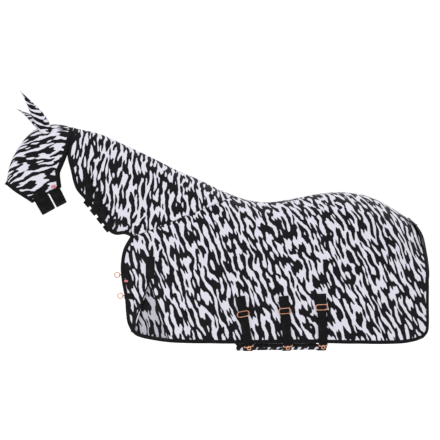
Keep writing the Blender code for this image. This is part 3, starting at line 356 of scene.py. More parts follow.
# %% Binding, webbing, hook-and-loop, thread, label
def make_webbing(name, colour, worn, rib, slant, reach):
    made, tree, sockets = finish(name, colour[:3], 0.68, Sheen_Weight=0.02, Sheen_Roughness=0.4,
                                 Specular_IOR_Level=0.07)
    uv = uv_of(tree)
    ribs = use(tree, RIBS, {"Strap": uv, "Rib": rib, "Slant": slant})
    clouds = use(tree, CLOUDS, {"Place": uv, "Scale": 18.0, "Low": 0.45, "High": 0.75})["Mask"]
    lint = sums(tree, "MULTIPLY", clouds, sums(tree, "MULTIPLY_ADD", ribs["Height"], 0.5, 0.2))
    tree.links.new(mixed(tree, lint, colour, worn), sockets["Base Color"])
    tree.links.new(sums(tree, "MULTIPLY_ADD", ribs["Height"], -0.12, 0.74), sockets["Roughness"])
    tree.links.new(bumped(tree, ribs["Height"], reach, 0.7), sockets["Normal"])
    return made


BINDING = make_webbing("black_binding", (0.0050, 0.0050, 0.0058, 1.0), (0.0150, 0.0150, 0.0165, 1.0),
                       0.0012, 0.0, 0.0003)
WEBBING = make_webbing("black_webbing", (0.0048, 0.0048, 0.0055, 1.0), (0.0160, 0.0160, 0.0175, 1.0),
                       0.0021, 0.9, 0.0005)
THREAD = make_webbing("black_thread", (0.016, 0.016, 0.018, 1.0), (0.040, 0.040, 0.043, 1.0),
                      0.0006, 0.4, 0.0001)


def make_nap():
    made, tree, sockets = finish("hook_and_loop", (0.006, 0.006, 0.007), 0.85, Sheen_Weight=0.01,
                                 Sheen_Roughness=0.5, Specular_IOR_Level=0.06)
    uv = uv_of(tree)
    fur = put(tree, "ShaderNodeTexNoise", {"Vector": uv, "Scale": 900.0, "Detail": 3.0})[0]
    loops = put(tree, "ShaderNodeTexVoronoi", {"Vector": uv, "Scale": 420.0})[0]
    clouds = use(tree, CLOUDS, {"Place": uv, "Scale": 24.0})["Mask"]
    tuft = sums(tree, "MULTIPLY_ADD", fur, 0.6, sums(tree, "MULTIPLY", loops, 0.5))
    tree.links.new(mixed(tree, sums(tree, "MULTIPLY", clouds, 0.6), (0.0045, 0.0045, 0.0050, 1.0),
                         (0.0130, 0.0130, 0.0140, 1.0)), sockets["Base Color"])
    tree.links.new(bumped(tree, tuft, 0.0008, 0.8), sockets["Normal"])
    return made


def make_label():
    made, tree, sockets = finish("woven_label", (0.55, 0.13, 0.16), 0.75, Sheen_Weight=0.15)
    uv = uv_of(tree)
    ribs = use(tree, RIBS, {"Strap": uv, "Rib": 0.0008, "Slant": 0.0})
    tree.links.new(mixed(tree, ribs["Shade"], (0.42, 0.09, 0.12, 1.0), (0.70, 0.24, 0.26, 1.0)),
                   sockets["Base Color"])
    tree.links.new(bumped(tree, ribs["Height"], 0.0002, 0.6), sockets["Normal"])
    return made


def make_rose_gold():
    made, tree, sockets = finish("rose_gold", (0.72, 0.37, 0.24), 0.22, Metallic=1.0)
    place = put(tree, "ShaderNodeTexCoord")["Object"]
    clouds = use(tree, CLOUDS, {"Place": place, "Scale": 60.0, "Low": 0.40, "High": 0.70})["Mask"]
    scuffs = put(tree, "ShaderNodeTexNoise", {"Vector": place, "Scale": 500.0, "Detail": 3.0})[0]
    tree.links.new(mixed(tree, clouds, (0.72, 0.37, 0.24, 1.0), (0.44, 0.20, 0.12, 1.0)),
                   sockets["Base Color"])
    tree.links.new(sums(tree, "MULTIPLY_ADD", clouds, 0.16, 0.17), sockets["Roughness"])
    tree.links.new(bumped(tree, scuffs, 0.0001, 0.35), sockets["Normal"])
    return made


NAP, LABEL, ROSE_GOLD = make_nap(), make_label(), make_rose_gold()
print("finishes:", len(bpy.data.materials))

# %% [markdown]
# ## The pattern and the two curved forms
# A sheet like this is drafted as flat outlines in side view, and the horse gives it its roundness. The
# same two things are kept apart here: outlines in the side view, and a rule that says how far from the
# middle plane the cloth lies at each place. Body and neck share one rule and the mask has its own.
# Working on whole arrays of points with numpy keeps this fast enough for a fine grid.

# %% Sizes and outlines
BARREL_WIDTH = 0.62
MASK_WIDTH = 0.21
CLOTH = 0.0014
BINDING_WIDTH = 0.018
BINDING_STEP = 0.0008
RIDGE_GAP = 0.0018
SEAM_GAP = 0.0008
LAY = 0.0009
GAP = 0.0003

TOP_LINE = [(-0.938, 0.399), (-0.787, 0.366), (-0.628, 0.295), (-0.486, 0.229), (-0.344, 0.158),
            (-0.202, 0.097), (-0.090, 0.042), (0.000, 0.0045), (0.094, -0.024), (0.194, -0.036),
            (0.340, -0.018), (0.482, 0.010), (0.620, 0.024), (0.766, 0.008), (0.860, -0.026),
            (0.954, -0.078), (1.030, -0.127), (1.078, -0.178)]
TAIL_LINE = [(1.078, -0.178), (1.108, -0.225), (1.122, -0.280)]
REAR_EDGE = [(1.078, -0.178), (1.108, -0.225), (1.122, -0.290), (1.127, -0.400), (1.126, -0.612),
             (1.127, -0.740), (1.119, -0.790), (1.090, -0.822)]
HEM = [(1.090, -0.822), (1.040, -0.838), (0.940, -0.848), (0.671, -0.845), (0.400, -0.838),
       (-0.013, -0.839), (-0.300, -0.834), (-0.500, -0.828), (-0.575, -0.815), (-0.606, -0.792)]
CHEST_EDGE = [(-0.606, -0.792), (-0.628, -0.745), (-0.636, -0.690), (-0.643, -0.600),
              (-0.660, -0.505), (-0.667, -0.410), (-0.650, -0.310), (-0.606, -0.235)]
NECK_HEM = [(-0.606, -0.235), (-0.645, -0.221), (-0.690, -0.226), (-0.727, -0.212)]
THROAT_EDGE = [(-0.727, -0.212), (-0.768, -0.160), (-0.820, -0.090), (-0.872, -0.023)]
POLL_EDGE = [(-0.872, -0.023), (-0.926, 0.046), (-0.955, 0.154), (-0.974, 0.251), (-0.938, 0.399)]
CHEST_LINE = [(-0.885, -0.040), (-0.836, -0.105), (-0.784, -0.172), (-0.738, -0.232),
              (-0.693, -0.300), (-0.672, -0.405), (-0.664, -0.505), (-0.647, -0.600),
              (-0.640, -0.690), (-0.634, -0.800), (-0.630, -0.860)]
FACE_LINE = [(-0.943, 0.400), (-1.009, 0.419), (-1.066, 0.420), (-1.130, 0.405), (-1.190, 0.372),
             (-1.247, 0.308), (-1.293, 0.230), (-1.318, 0.160), (-1.333, 0.070)]
NOSE_HEM = [(-1.333, 0.070), (-1.282, 0.030), (-1.230, -0.004), (-1.180, -0.037)]
JAW_EDGE = [(-1.180, -0.037), (-1.126, -0.006), (-1.080, 0.018), (-1.014, 0.052)]
MASK_REAR = [(-1.014, 0.052), (-1.020, 0.095), (-1.023, 0.137), (-1.006, 0.180), (-0.9778, 0.253),
             (-0.9427, 0.398)]
BODY_SECTIONS = [(-1.30, 0.29, 0.100), (-0.90, 0.38, 0.150), (-0.50, 0.50, 0.190),
                 (-0.20, 0.68, 0.230), (0.05, 0.87, 0.260), (0.30, 0.98, 0.270),
                 (0.44, 1.00, 0.280), (2.00, 1.00, 0.280)]
MASK_SECTIONS = [(0.00, 0.82), (0.12, 1.00), (0.28, 0.92), (0.42, 0.72), (0.55, 0.60)]


# %% Lines in the side view
def smooth(points, steps=7):
    """Close points on a smooth curve through the given ones."""
    p = np.array(points, float)
    before, after = np.vstack([p[:1], p[:-1]]), np.vstack([p[1:], p[-1:]])
    run = np.linalg.norm(p - before, axis=1) + np.linalg.norm(after - p, axis=1)
    tangent = (after - before) / run[:, None]
    span = np.linalg.norm(p[1:] - p[:-1], axis=1)[:, None, None]
    t = (np.arange(steps) / steps)[None, :, None]
    curve = (p[:-1, None] * (2 * t**3 - 3 * t**2 + 1) + p[1:, None] * (3 * t**2 - 2 * t**3)
             + tangent[:-1, None] * span * (t**3 - 2 * t**2 + t)
             + tangent[1:, None] * span * (t**3 - t**2))
    return np.vstack([curve.reshape(-1, p.shape[1]), p[-1:]])


def lengths(line):
    return np.concatenate([[0.0], np.cumsum(np.linalg.norm(np.diff(line, axis=0), axis=1))])


def spaced(line, shares):
    """Points at shares of a line's length."""
    run = lengths(line)
    wanted = np.asarray(shares) * run[-1]
    return np.stack([np.interp(wanted, run, column) for column in np.asarray(line).T], axis=-1)


def sideways(line, hand):
    """Unit normals of a side-view line, to its left for hand 1 and to its right for hand -1."""
    step = np.gradient(np.asarray(line, float), axis=0)
    step /= np.linalg.norm(step, axis=1)[:, None]
    return np.stack([-step[:, 1], step[:, 0]], axis=-1) * hand


def distance(points, line):
    """How far each point is from a line, in the side view."""
    a, b = line[:-1], line[1:]
    along = b - a
    gap = points[..., None, :] - a
    t = np.clip((gap * along).sum(-1) / (along**2).sum(-1), 0.0, 1.0)
    return np.sqrt(((gap - along * t[..., None])**2).sum(-1).min(-1))


RIDGE = smooth(TOP_LINE)
FULL_RIDGE = np.vstack([RIDGE, smooth(TAIL_LINE)[1:]])
CHEST, FACE, JAW = smooth(CHEST_LINE), smooth(FACE_LINE), smooth(JAW_EDGE)
print("ridge", round(lengths(FULL_RIDGE)[-1], 2), "m long")

# %% [markdown]
# ### How wide the horse is, and how the cloth hangs on it
# The half width starts as a quarter circle at the ridge and levels out down the side. Cloth that hangs
# free is never that even: the skirt waves a little towards its hem, folds fan out from the pleat at the
# shoulder, and soft creases cross the neck. These folds are a second rule that is added to the first,
# so every strap and label that is placed on the form follows them too. Under the belly straps and over
# the belly flap's sewn edge the cloth is held flat.

# %% The two forms
def table(rows, place, column=1):
    """Read a smooth value from rows that start with a place."""
    rows = np.array(rows)
    index = np.clip(np.searchsorted(rows[:, 0], place) - 1, 0, len(rows) - 2)
    t = np.clip((place - rows[index, 0]) / (rows[index + 1, 0] - rows[index, 0]), 0.0, 1.0)
    t = t * t * (3 - 2 * t)
    return rows[index, column] * (1 - t) + rows[index + 1, column] * t


def round_off(ratio):
    return np.sqrt(1.0 - (1.0 - np.clip(ratio, 0.0, 1.0))**2)


def swell(ratio):
    return np.sin(0.5 * math.pi * np.clip(ratio, 0.0, 1.0))


def step(value, low, high):
    t = np.clip((value - low) / (high - low), 0.0, 1.0)
    return t * t * (3 - 2 * t)


def bump(value, centre, reach):
    return np.exp(-((value - centre) / reach)**2)


def body_folds(p, side):
    """How far the hanging cloth stands out from the horse, in metres."""
    x, z = p[..., 0], p[..., 1]
    shift = 0.8 * side
    held = step(x, -0.16, -0.04) * (1 - step(x, 0.55, 0.68)) * step(-z, 0.50, 0.66)
    skirt = step(-z, 0.36, 0.84) * (1 - held)
    wave = 0.0042 * np.sin(21.0 * x + 4.0 * z + shift) + 0.0026 * np.sin(37.0 * x - 6.0 * z + 2 * shift)
    turn = np.arctan2(x + 0.497, -(z + 0.36))
    fan = np.sin(17.0 * turn + shift) * step(-z, 0.42, 0.62) * bump(x, -0.50, 0.17)
    neck = np.sin(74.0 * (0.80 * x - 0.60 * z) + 3.0 * np.sin(5.0 * x) + shift)
    neck = neck * bump(x, -0.66, 0.20) * bump(z, -0.04, 0.13)
    slope = np.sin(58.0 * (0.45 * x + 0.89 * z) + shift) * bump(x, -0.30, 0.16) * bump(z, -0.20, 0.15)
    rear = np.sin(46.0 * (0.93 * x + 0.36 * z) + shift) * step(x, 0.84, 1.04) * bump(z, -0.48, 0.26)
    flank = np.sin(30.0 * (0.60 * x + 0.80 * z) + 2 * shift) * bump(x, 0.66, 0.20) * bump(z, -0.42, 0.16)
    free = step(distance(p, FULL_RIDGE), 0.05, 0.16) * step(distance(p, CHEST), 0.02, 0.12)
    folds = skirt * wave + 0.0034 * fan + 0.0019 * neck + 0.0021 * slope + 0.0022 * rear
    return (folds + 0.0014 * flank * (1 - held)) * free


def body_half(p, side):
    x, z = p[..., 0], p[..., 1]
    place = x - 0.8 * z
    share, depth = table(BODY_SECTIONS, place), table(BODY_SECTIONS, place, 2)
    rump = 1.0 - round_off((1.16 - x) / 0.44)
    share = share * (1.0 - rump) + 0.46 * rump
    chest = 0.20 + 0.14 * swell((-0.10 - z) / 0.35)
    over_back = round_off(distance(p, FULL_RIDGE) / depth)
    round_front = swell(distance(p, CHEST) / chest)
    return RIDGE_GAP / 2 + 0.5 * BARREL_WIDTH * share * over_back * round_front + body_folds(p, side)


FACE_TOP, NOSE = np.array(FACE_LINE[0]), np.array(NOSE_HEM[1])
DOWN_FACE = (NOSE - FACE_TOP) / np.linalg.norm(NOSE - FACE_TOP)


def mask_half(p, side):
    x, z = p[..., 0], p[..., 1]
    share = table(MASK_SECTIONS, (p - FACE_TOP) @ DOWN_FACE)
    to_face = distance(p, FACE)
    under = 0.62 + 0.38 * round_off(distance(p, JAW) / 0.14)
    crease = np.sin(95.0 * (0.86 * x + 0.5 * z) + side) * bump(x, -1.12, 0.09) * bump(z, 0.10, 0.10)
    crease = 0.0011 * crease * step(to_face, 0.03, 0.10)
    return RIDGE_GAP / 2 + 0.5 * MASK_WIDTH * share * round_off(to_face / 0.105) * under + crease


HALF = {"body": body_half, "mask": mask_half}
NUDGE = 0.002


def on_form(points, side, form, out=0.0, least=RIDGE_GAP / 2):
    """Put side-view points on the left (-1) or right (1) of a form, a little out from the cloth."""
    points, out = np.asarray(points, float), np.asarray(out, float)[..., None]
    half = HALF[form]
    here = np.maximum(half(points, side), least)
    slope_x = (half(points + (NUDGE, 0.0), side) - here) / NUDGE
    slope_z = (half(points + (0.0, NUDGE), side) - here) / NUDGE
    normal = np.stack([-slope_x, np.ones_like(here), -slope_z], axis=-1)
    normal /= np.linalg.norm(normal, axis=-1)[..., None]
    spot = np.stack([points[..., 0], here, points[..., 1]], axis=-1) + out * normal
    return spot * (1, side, 1)


print("half width at the barrel:", round(float(body_half(np.array([0.5, -0.5]), -1)), 3), "m")

# %% [markdown]
# ## Making cloth from a grid of points
# Every piece of cloth and webbing here is a thin closed slab: a grid of points for its outer face, the
# same grid pushed inwards by its thickness, and a rim between them. Webbing and bindings have soft
# edges, so their border points are drawn in a little and a middle row closes the rim. Each slab keeps a
# UV map in metres, which the weave and the print follow.

# %% The slab builder
def grid_normals(grid, outward):
    """Unit normals of a grid of points, on the side of outward."""
    down, across = np.gradient(grid, axis=0), np.gradient(grid, axis=1)
    normal = np.cross(across, down)
    normal /= np.maximum(np.linalg.norm(normal, axis=-1), 1e-12)[..., None]
    total = (normal * np.asarray(outward, float)).sum()
    return normal if total > 0 else -normal


def piece(name, verts, faces, uvs, finish):
    """A mesh object with one UV value for each vertex, and faces that point outwards."""
    mesh = bpy.data.meshes.new(name)
    mesh.from_pydata(np.asarray(verts).tolist(), [], faces)
    layer = mesh.uv_layers.new(name="UVMap")
    corner = np.empty(len(mesh.loops), int)
    mesh.loops.foreach_get("vertex_index", corner)
    layer.data.foreach_set("uv", np.asarray(uvs, float)[corner].ravel())
    for look in finish if isinstance(finish, (list, tuple)) else [finish]:
        mesh.materials.append(look)
    form = bmesh.new()
    form.from_mesh(mesh)
    bmesh.ops.recalc_face_normals(form, faces=form.faces)
    form.to_mesh(mesh)
    form.free()
    mesh.shade_smooth()
    thing = bpy.data.objects.new(name, mesh)
    scene.collection.objects.link(thing)
    return thing


def slab(name, grid, outward, thickness, finish, uv, soft=False, inner_slot=0):
    """A closed sheet of cloth whose outer face is the grid."""
    grid = np.asarray(grid, float)
    normal = grid_normals(grid, outward)
    rows, columns = grid.shape[:2]
    draw = np.zeros((rows, columns))
    if soft:
        draw[[0, -1]] = draw[:, [0, -1]] = 0.22 * thickness
    outer = grid - normal * draw[..., None]
    inner = grid - normal * (thickness - draw)[..., None]
    count = rows * columns
    ids = np.arange(count).reshape(rows, columns)
    a, b, c, d = ids[:-1, :-1], ids[:-1, 1:], ids[1:, 1:], ids[1:, :-1]
    quads = np.stack([a, b, c, d], axis=-1).reshape(-1, 4)
    faces = quads.tolist() + (quads[:, ::-1] + count).tolist()
    border = np.concatenate([ids[0, :-1], ids[:-1, -1], ids[-1, :0:-1], ids[:0:-1, 0]])
    after = np.roll(border, -1)
    verts, uvs = [outer.reshape(-1, 3), inner.reshape(-1, 3)], [uv.reshape(-1, 2)] * 2
    if soft:
        middle = 0.5 * (outer + inner).reshape(-1, 3)[border]
        away = grid.reshape(-1, 3)[border] - grid[1:-1, 1:-1].reshape(-1, 3)[nearest_inner(ids, border)]
        away /= np.maximum(np.linalg.norm(away, axis=1), 1e-9)[:, None]
        verts.append(middle + away * 0.28 * thickness)
        uvs.append(uv.reshape(-1, 2)[border])
        ring = 2 * count + np.arange(len(border))
        on = np.roll(ring, -1)
        faces += np.stack([after, border, ring, on], axis=-1).tolist()
        faces += np.stack([on, ring, border + count, after + count], axis=-1).tolist()
    else:
        faces += np.stack([after, border, border + count, after + count], axis=-1).tolist()
    thing = piece(name, np.vstack(verts), faces, np.vstack(uvs), finish)
    if inner_slot:
        slots = np.zeros(len(faces), int)
        slots[len(quads):] = inner_slot
        thing.data.polygons.foreach_set("material_index", slots)
    return thing


def nearest_inner(ids, border):
    """For each border point, the grid point one step inside it."""
    rows, columns = ids.shape
    row = np.clip(border // columns, 1, rows - 2) - 1
    column = np.clip(border % columns, 1, columns - 2) - 1
    return row * (columns - 2) + column

# %% [markdown]
# ## The body sheet, neck cover and mask
# Each panel fills the space between its four border lines: the two sides' points and the top and bottom
# points are blended across the panel, as a draughtsman's French curves would fill it. Rows crowd
# towards the ridge, where the form turns fastest. The print's direction differs from panel to panel, so
# the UV map is laid out along the print: across the stripes and along them, in metres.

# %% Grids in the side view
def coons(left, right, top, bottom, u, v):
    u, v = u[None, :, None], v[:, None, None]
    across = left[:, None] * (1 - u) + right[:, None] * u
    down = top[None] * (1 - v) + bottom[None] * v
    corners = (left[0] * (1 - u) + right[0] * u) * (1 - v) + (left[-1] * (1 - u) + right[-1] * u) * v
    return across + down - corners


def inset(line, reach, hand, first=None, last=None):
    moved = line + sideways(line, hand) * reach
    if first is not None:
        moved = np.vstack([first, moved[np.linalg.norm(moved - first, axis=1) > reach]])
    if last is not None:
        moved = np.vstack([moved[np.linalg.norm(moved - last, axis=1) > reach], last])
    return moved


def nearest(line, point):
    return int(np.linalg.norm(line - point, axis=1).argmin())


def toward(start, end, reach):
    return start + (end - start) / np.linalg.norm(end - start) * reach


SEAM_TOP = RIDGE[np.abs(RIDGE[:, 0]).argmin()]
SEAM_CORNER = np.array(NECK_HEM[0])
SEAM_END = toward(SEAM_CORNER, SEAM_TOP, BINDING_WIDTH)
SEAM_SIDE = np.array([SEAM_TOP[1] - SEAM_END[1], SEAM_END[0] - SEAM_TOP[0]])
SEAM_SIDE /= np.linalg.norm(SEAM_SIDE)
ROW_CROWDING = 1.9


def crowded(count, power=ROW_CROWDING):
    return (np.arange(count + 1) / count)**power


def body_grid(columns, seam_rows, chest_rows):
    dock = RIDGE[-1]
    ridge_end = toward(dock, RIDGE[-3], BINDING_WIDTH)
    edge, hem, rear = smooth(CHEST_EDGE[::-1]), smooth(HEM[::-1]), smooth(REAR_EDGE[::-1])
    start = SEAM_END + SEAM_SIDE * SEAM_GAP / 2
    inner = inset(np.vstack([edge, hem[1:], rear[1:]]), BINDING_WIDTH, 1, start, ridge_end)
    chest_end, hem_end = nearest(inner, edge[-1]), nearest(inner, hem[-1])
    seam_v = crowded(seam_rows, 2.1)
    chest_v = np.arange(1, chest_rows + 1) / chest_rows
    seam = SEAM_TOP + (SEAM_END - SEAM_TOP) * seam_v[:, None] + SEAM_SIDE * SEAM_GAP / 2
    left = np.vstack([seam, spaced(inner[: chest_end + 1], chest_v)])
    v = np.concatenate([seam_v * 0.5, 0.5 + 0.5 * chest_v])
    u = np.arange(columns + 1) / columns
    u = u - 0.5 / (2 * math.pi) * np.sin(2 * math.pi * u)
    right_line = inner[hem_end:]
    ridge = RIDGE[(RIDGE[:, 0] > SEAM_TOP[0] + 0.01) & (RIDGE[:, 0] < right_line[-1][0] - 0.005)]
    top = spaced(np.vstack([SEAM_TOP + SEAM_SIDE * SEAM_GAP / 2, ridge, right_line[-1]]), u)
    bottom = spaced(inner[chest_end: hem_end + 1], u)
    return coons(left, spaced(right_line[::-1], v), top, bottom, u, v)


def neck_grid(columns, rows):
    throat = smooth(NECK_HEM + THROAT_EDGE[1:])
    poll = smooth(POLL_EDGE)
    start = SEAM_END - SEAM_SIDE * SEAM_GAP / 2
    ridge_end = toward(RIDGE[0], RIDGE[2], BINDING_WIDTH)
    inner = inset(np.vstack([throat, poll[1:]]), BINDING_WIDTH, -1, start, ridge_end)
    split = nearest(inner, poll[0])
    v, u = crowded(rows, 2.1), np.arange(columns + 1) / columns
    left = SEAM_TOP + (SEAM_END - SEAM_TOP) * v[:, None] - SEAM_SIDE * SEAM_GAP / 2
    ridge = RIDGE[(RIDGE[:, 0] > ridge_end[0] + 0.005) & (RIDGE[:, 0] < SEAM_TOP[0] - 0.01)]
    top = spaced(np.vstack([left[:1], ridge[::-1], ridge_end]), u)
    return coons(left, spaced(inner[split:][::-1], v), top, spaced(inner[: split + 1], u), u, v)


def mask_grid(columns, rows):
    face_start, face_end = (toward(FACE[0], FACE[2], BINDING_WIDTH),
                            toward(FACE[-1], FACE[-3], BINDING_WIDTH))
    jaw_front, jaw_rear = (toward(JAW[0], JAW[2], BINDING_WIDTH),
                           toward(JAW[-1], JAW[-3], BINDING_WIDTH))
    nose_in = inset(smooth(NOSE_HEM), BINDING_WIDTH, 1, face_end, jaw_front)
    rear_in = inset(smooth(MASK_REAR), BINDING_WIDTH, 1, jaw_rear, face_start)
    u, v = np.arange(columns + 1) / columns, crowded(rows)
    far = 0.03

    def between(line):
        keep = ((np.linalg.norm(line - line[0], axis=1) > far)
                & (np.linalg.norm(line - line[-1], axis=1) > far))
        return line[keep]

    top = spaced(np.vstack([face_start, between(FACE), face_end])[::-1], u)
    bottom = spaced(np.vstack([jaw_front, between(JAW), jaw_rear]), u)
    return coons(spaced(nose_in, v), spaced(rear_in[::-1], v), top, bottom, u, v)


BODY_GRID = body_grid(190, 44, 62)
NECK_GRID = neck_grid(90, 64)
MASK_GRID = mask_grid(60, 56)
print("grids:", BODY_GRID.shape[:2], NECK_GRID.shape[:2], MASK_GRID.shape[:2])

# %% Panels
def run_down(grid):
    steps = np.linalg.norm(np.diff(grid, axis=0), axis=2)
    return np.vstack([np.zeros((1, grid.shape[1])), np.cumsum(steps, axis=0)])


def print_map(flat, solid, angle, sway=0.0):
    """UV in metres along the print: the side view, drawn out by the cloth's extra length down."""
    x, y = flat[..., 0], flat[..., 1] - (run_down(solid) - run_down(flat))
    turn = np.radians(angle) + sway * (x - x.mean())
    middle = x.mean()
    across = (x - middle) * np.cos(turn) + y * np.sin(turn) + middle
    along = -(x - middle) * np.sin(turn) + y * np.cos(turn)
    return np.stack([across, along], axis=-1)


def panel(name, flat, side, form, angle, sway=0.0):
    solid = on_form(flat, side, form)
    uv = print_map(flat, solid, angle, sway) + (0.0, 3.0 * (side > 0))
    return slab(name, solid, (0, side, 0), CLOTH, [MESH, MESH_INSIDE], uv, inner_slot=1)


# %% Openings for the gussets and the ears
GUSSET_APEX, GUSSET_FEET = np.array((-0.500, -0.490)), np.array([(-0.603, -0.800), (-0.398, -0.812)])
GUSSET_RUN = 0.03
EAR_BASE, EAR_FOOT, EAR_LEAN, EAR_HOLE = np.array((-1.098, 0.384)), (0.034, 0.022), 0.25, 0.80


def ear_oval(share, count):
    turn = 2 * math.pi * np.arange(count) / count
    x = EAR_FOOT[0] * np.cos(turn) + EAR_LEAN * EAR_FOOT[1] * np.sin(turn)
    return EAR_BASE + np.stack([x, EAR_FOOT[1] * np.sin(turn)], axis=-1) * share


def cut_through(thing, outline, near, far):
    """Cut a side-view outline out of a panel, between two distances from the middle plane."""
    form = bmesh.new()
    ring = [form.verts.new((x, near, z)) for x, z in outline]
    face = form.faces.new(ring)
    grown = bmesh.ops.extrude_face_region(form, geom=[face])["geom"]
    bmesh.ops.translate(form, vec=(0, far - near, 0),
                        verts=[v for v in grown if isinstance(v, bmesh.types.BMVert)])
    bmesh.ops.recalc_face_normals(form, faces=form.faces)
    mesh = bpy.data.meshes.new("cutter")
    form.to_mesh(mesh)
    form.free()
    cutter = bpy.data.objects.new("cutter", mesh)
    scene.collection.objects.link(cutter)
    cut = thing.modifiers.new("opening", "BOOLEAN")
    cut.operation, cut.object, cut.solver = "DIFFERENCE", cutter, "EXACT"
    plain(thing)
    bpy.data.objects.remove(cutter, do_unlink=True)


def plain(thing):
    """Turn an object with modifiers into a plain mesh."""
    bpy.context.view_layer.update()
    result = bpy.data.meshes.new_from_object(thing.evaluated_get(bpy.context.evaluated_depsgraph_get()))
    thing.modifiers.clear()
    thing.data = result
    return thing


# %% Make the panels
PANELS = {}
for word, side in (("left", -1), ("right", 1)):
    PANELS["body", side] = panel("body_cloth_" + word, BODY_GRID, side, "body", 20.0, 0.10)
    PANELS["neck", side] = panel("neck_cloth_" + word, NECK_GRID, side, "body", -2.0, 0.25)
    PANELS["mask", side] = panel("mask_cloth_" + word, MASK_GRID, side, "mask", -78.0)
    opening = [GUSSET_APEX, *(GUSSET_FEET - (0.0, GUSSET_RUN))]
    cut_through(PANELS["body", side], opening, side * 0.05, side * 0.36)
    cut_through(PANELS["mask", side], ear_oval(EAR_HOLE, 32), side * 0.01, side * 0.155)
print("panels:", [len(thing.data.polygons) for thing in PANELS.values()])

# %% [markdown]
# ## Bindings
# A binding is a folded tape that closes the raw edge of the cloth. It stands a little proud of both
# faces and its folded edge is round. Each one here is a soft slab that starts just inside the edge of
# its panel, so that it covers that edge, and runs along the panel's own border points.

# %% Bindings along the panels
BINDING_ROWS = np.array([(-0.0035, 0.0006), (0.001, 0.0012), (0.006, 0.0014), (0.011, 0.0014),
                         (0.0155, 0.0011), (0.018, 0.0003)])
BINDING_THICKNESS = 0.0030
# where a binding's stitches lie: past the panel's border, and above the panel
SEAM_SET, SEAM_LIFT = 0.0012, 0.0013
THREAD_ON_CLOTH = 0.0002


def end_normals(line, hand, start, end):
    out = sideways(line, hand)
    for index, given in ((0, start), (-1, end)):
        if given is not None:
            out[index] = given / np.linalg.norm(given)
    return out


def strip_uv(line, across):
    run = lengths(line)
    return np.stack(np.meshgrid(run, across, indexing="ij"), axis=-1)


def binding(name, line, out, place, outward):
    flat = line[:, None] + out[:, None] * BINDING_ROWS[None, :, :1]
    grid = place(flat, np.broadcast_to(BINDING_ROWS[:, 1], flat.shape[:2]))
    return slab(name, grid, outward, BINDING_THICKNESS, BINDING, strip_uv(line, BINDING_ROWS[:, 0]),
                soft=True)


def on_side_of(side, form):
    return lambda flat, out: on_form(flat, side, form, out, RIDGE_GAP)


SEAM_ROWS = 44
BORDERS = {"edge": (np.vstack([BODY_GRID[SEAM_ROWS:, 0], BODY_GRID[-1, 1:], BODY_GRID[:-1, -1][::-1]]),
                    -1, SEAM_CORNER - SEAM_END, RIDGE[-1] - RIDGE[-3], "body"),
           "neck": (np.vstack([NECK_GRID[-1], NECK_GRID[:-1, -1][::-1]]),
                    1, SEAM_CORNER - SEAM_END, RIDGE[0] - RIDGE[2], "body"),
           "mask_nose": (MASK_GRID[:, 0], -1, FACE[-1] - FACE[-3], JAW[0] - JAW[2], "mask"),
           "mask_rear": (MASK_GRID[::-1, -1], -1, JAW[-1] - JAW[-3], FACE[0] - FACE[2], "mask")}
BINDINGS = {}
for key, (line, hand, start, end, form) in BORDERS.items():
    out = end_normals(line, hand, start, end)
    for word, side in (("left", -1), ("right", 1)):
        BINDINGS[key, side] = binding(key + "_tape_" + word, line, out, on_side_of(side, form),
                                      (0, side, 0))
print("bindings:", {key: round(float(lengths(row[0])[-1]), 2) for key, row in BORDERS.items()}, "m")

# %% [markdown]
# ## Stitches
# A row of lockstitches is the same small bead of thread over and over along a seam line, which is work
# for Geometry Nodes: the seam's points become a curve, the curve is cut into equal steps, a bead is
# placed at each step along the curve's direction, and the beads are made real at the end.

# %% The stitching tree
def node_tree(name, inputs):
    tree = bpy.data.node_groups.new(name, "GeometryNodeTree")
    tree.interface.new_socket(name="Geometry", in_out="INPUT", socket_type="NodeSocketGeometry")
    for label, kind, value in inputs:
        socket = tree.interface.new_socket(name=label, in_out="INPUT", socket_type="NodeSocket" + kind)
        if value is not None:
            socket.default_value = value
    tree.interface.new_socket(name="Geometry", in_out="OUTPUT", socket_type="NodeSocketGeometry")
    return tree, tree.nodes.new("NodeGroupInput").outputs, tree.nodes.new("NodeGroupOutput").inputs


def finish_tree(tree, made, given, result):
    real = put(tree, "GeometryNodeRealizeInstances", {"Geometry": made})[0]
    smooth_faces = put(tree, "GeometryNodeSetShadeSmooth", {"Geometry": real})[0]
    final = put(tree, "GeometryNodeSetMaterial", {"Geometry": smooth_faces,
                                                  "Material": given["Finish"]})[0]
    tree.links.new(final, result["Geometry"])


def make_stitching():
    tree, given, result = node_tree("stitching", [
        ("Step", "Float", 0.004), ("Length", "Float", 0.0029), ("Thread", "Float", 0.00055),
        ("Finish", "Material", None)])
    seam = put(tree, "GeometryNodeMeshToCurve", {"Mesh": given["Geometry"]})[0]
    steps = put(tree, "GeometryNodeResampleCurve", {"Curve": seam, "Length": given["Step"]},
                mode="LENGTH")[0]
    bead = put(tree, "GeometryNodeMeshUVSphere", {"Segments": 5, "Rings": 3, "Radius": 0.5})[0]
    size = put(tree, "ShaderNodeCombineXYZ", {0: given["Length"],
                                              1: sums(tree, "MULTIPLY", given["Thread"], 2.0),
                                              2: sums(tree, "MULTIPLY", given["Thread"], 2.0)})[0]
    tangent = put(tree, "GeometryNodeInputTangent")[0]
    turned = put(tree, "FunctionNodeAlignRotationToVector", {"Vector": tangent}, axis="X")[0]
    beads = put(tree, "GeometryNodeInstanceOnPoints", {"Points": steps, "Instance": bead,
                                                       "Rotation": turned, "Scale": size})[0]
    finish_tree(tree, beads, given, result)
    return tree


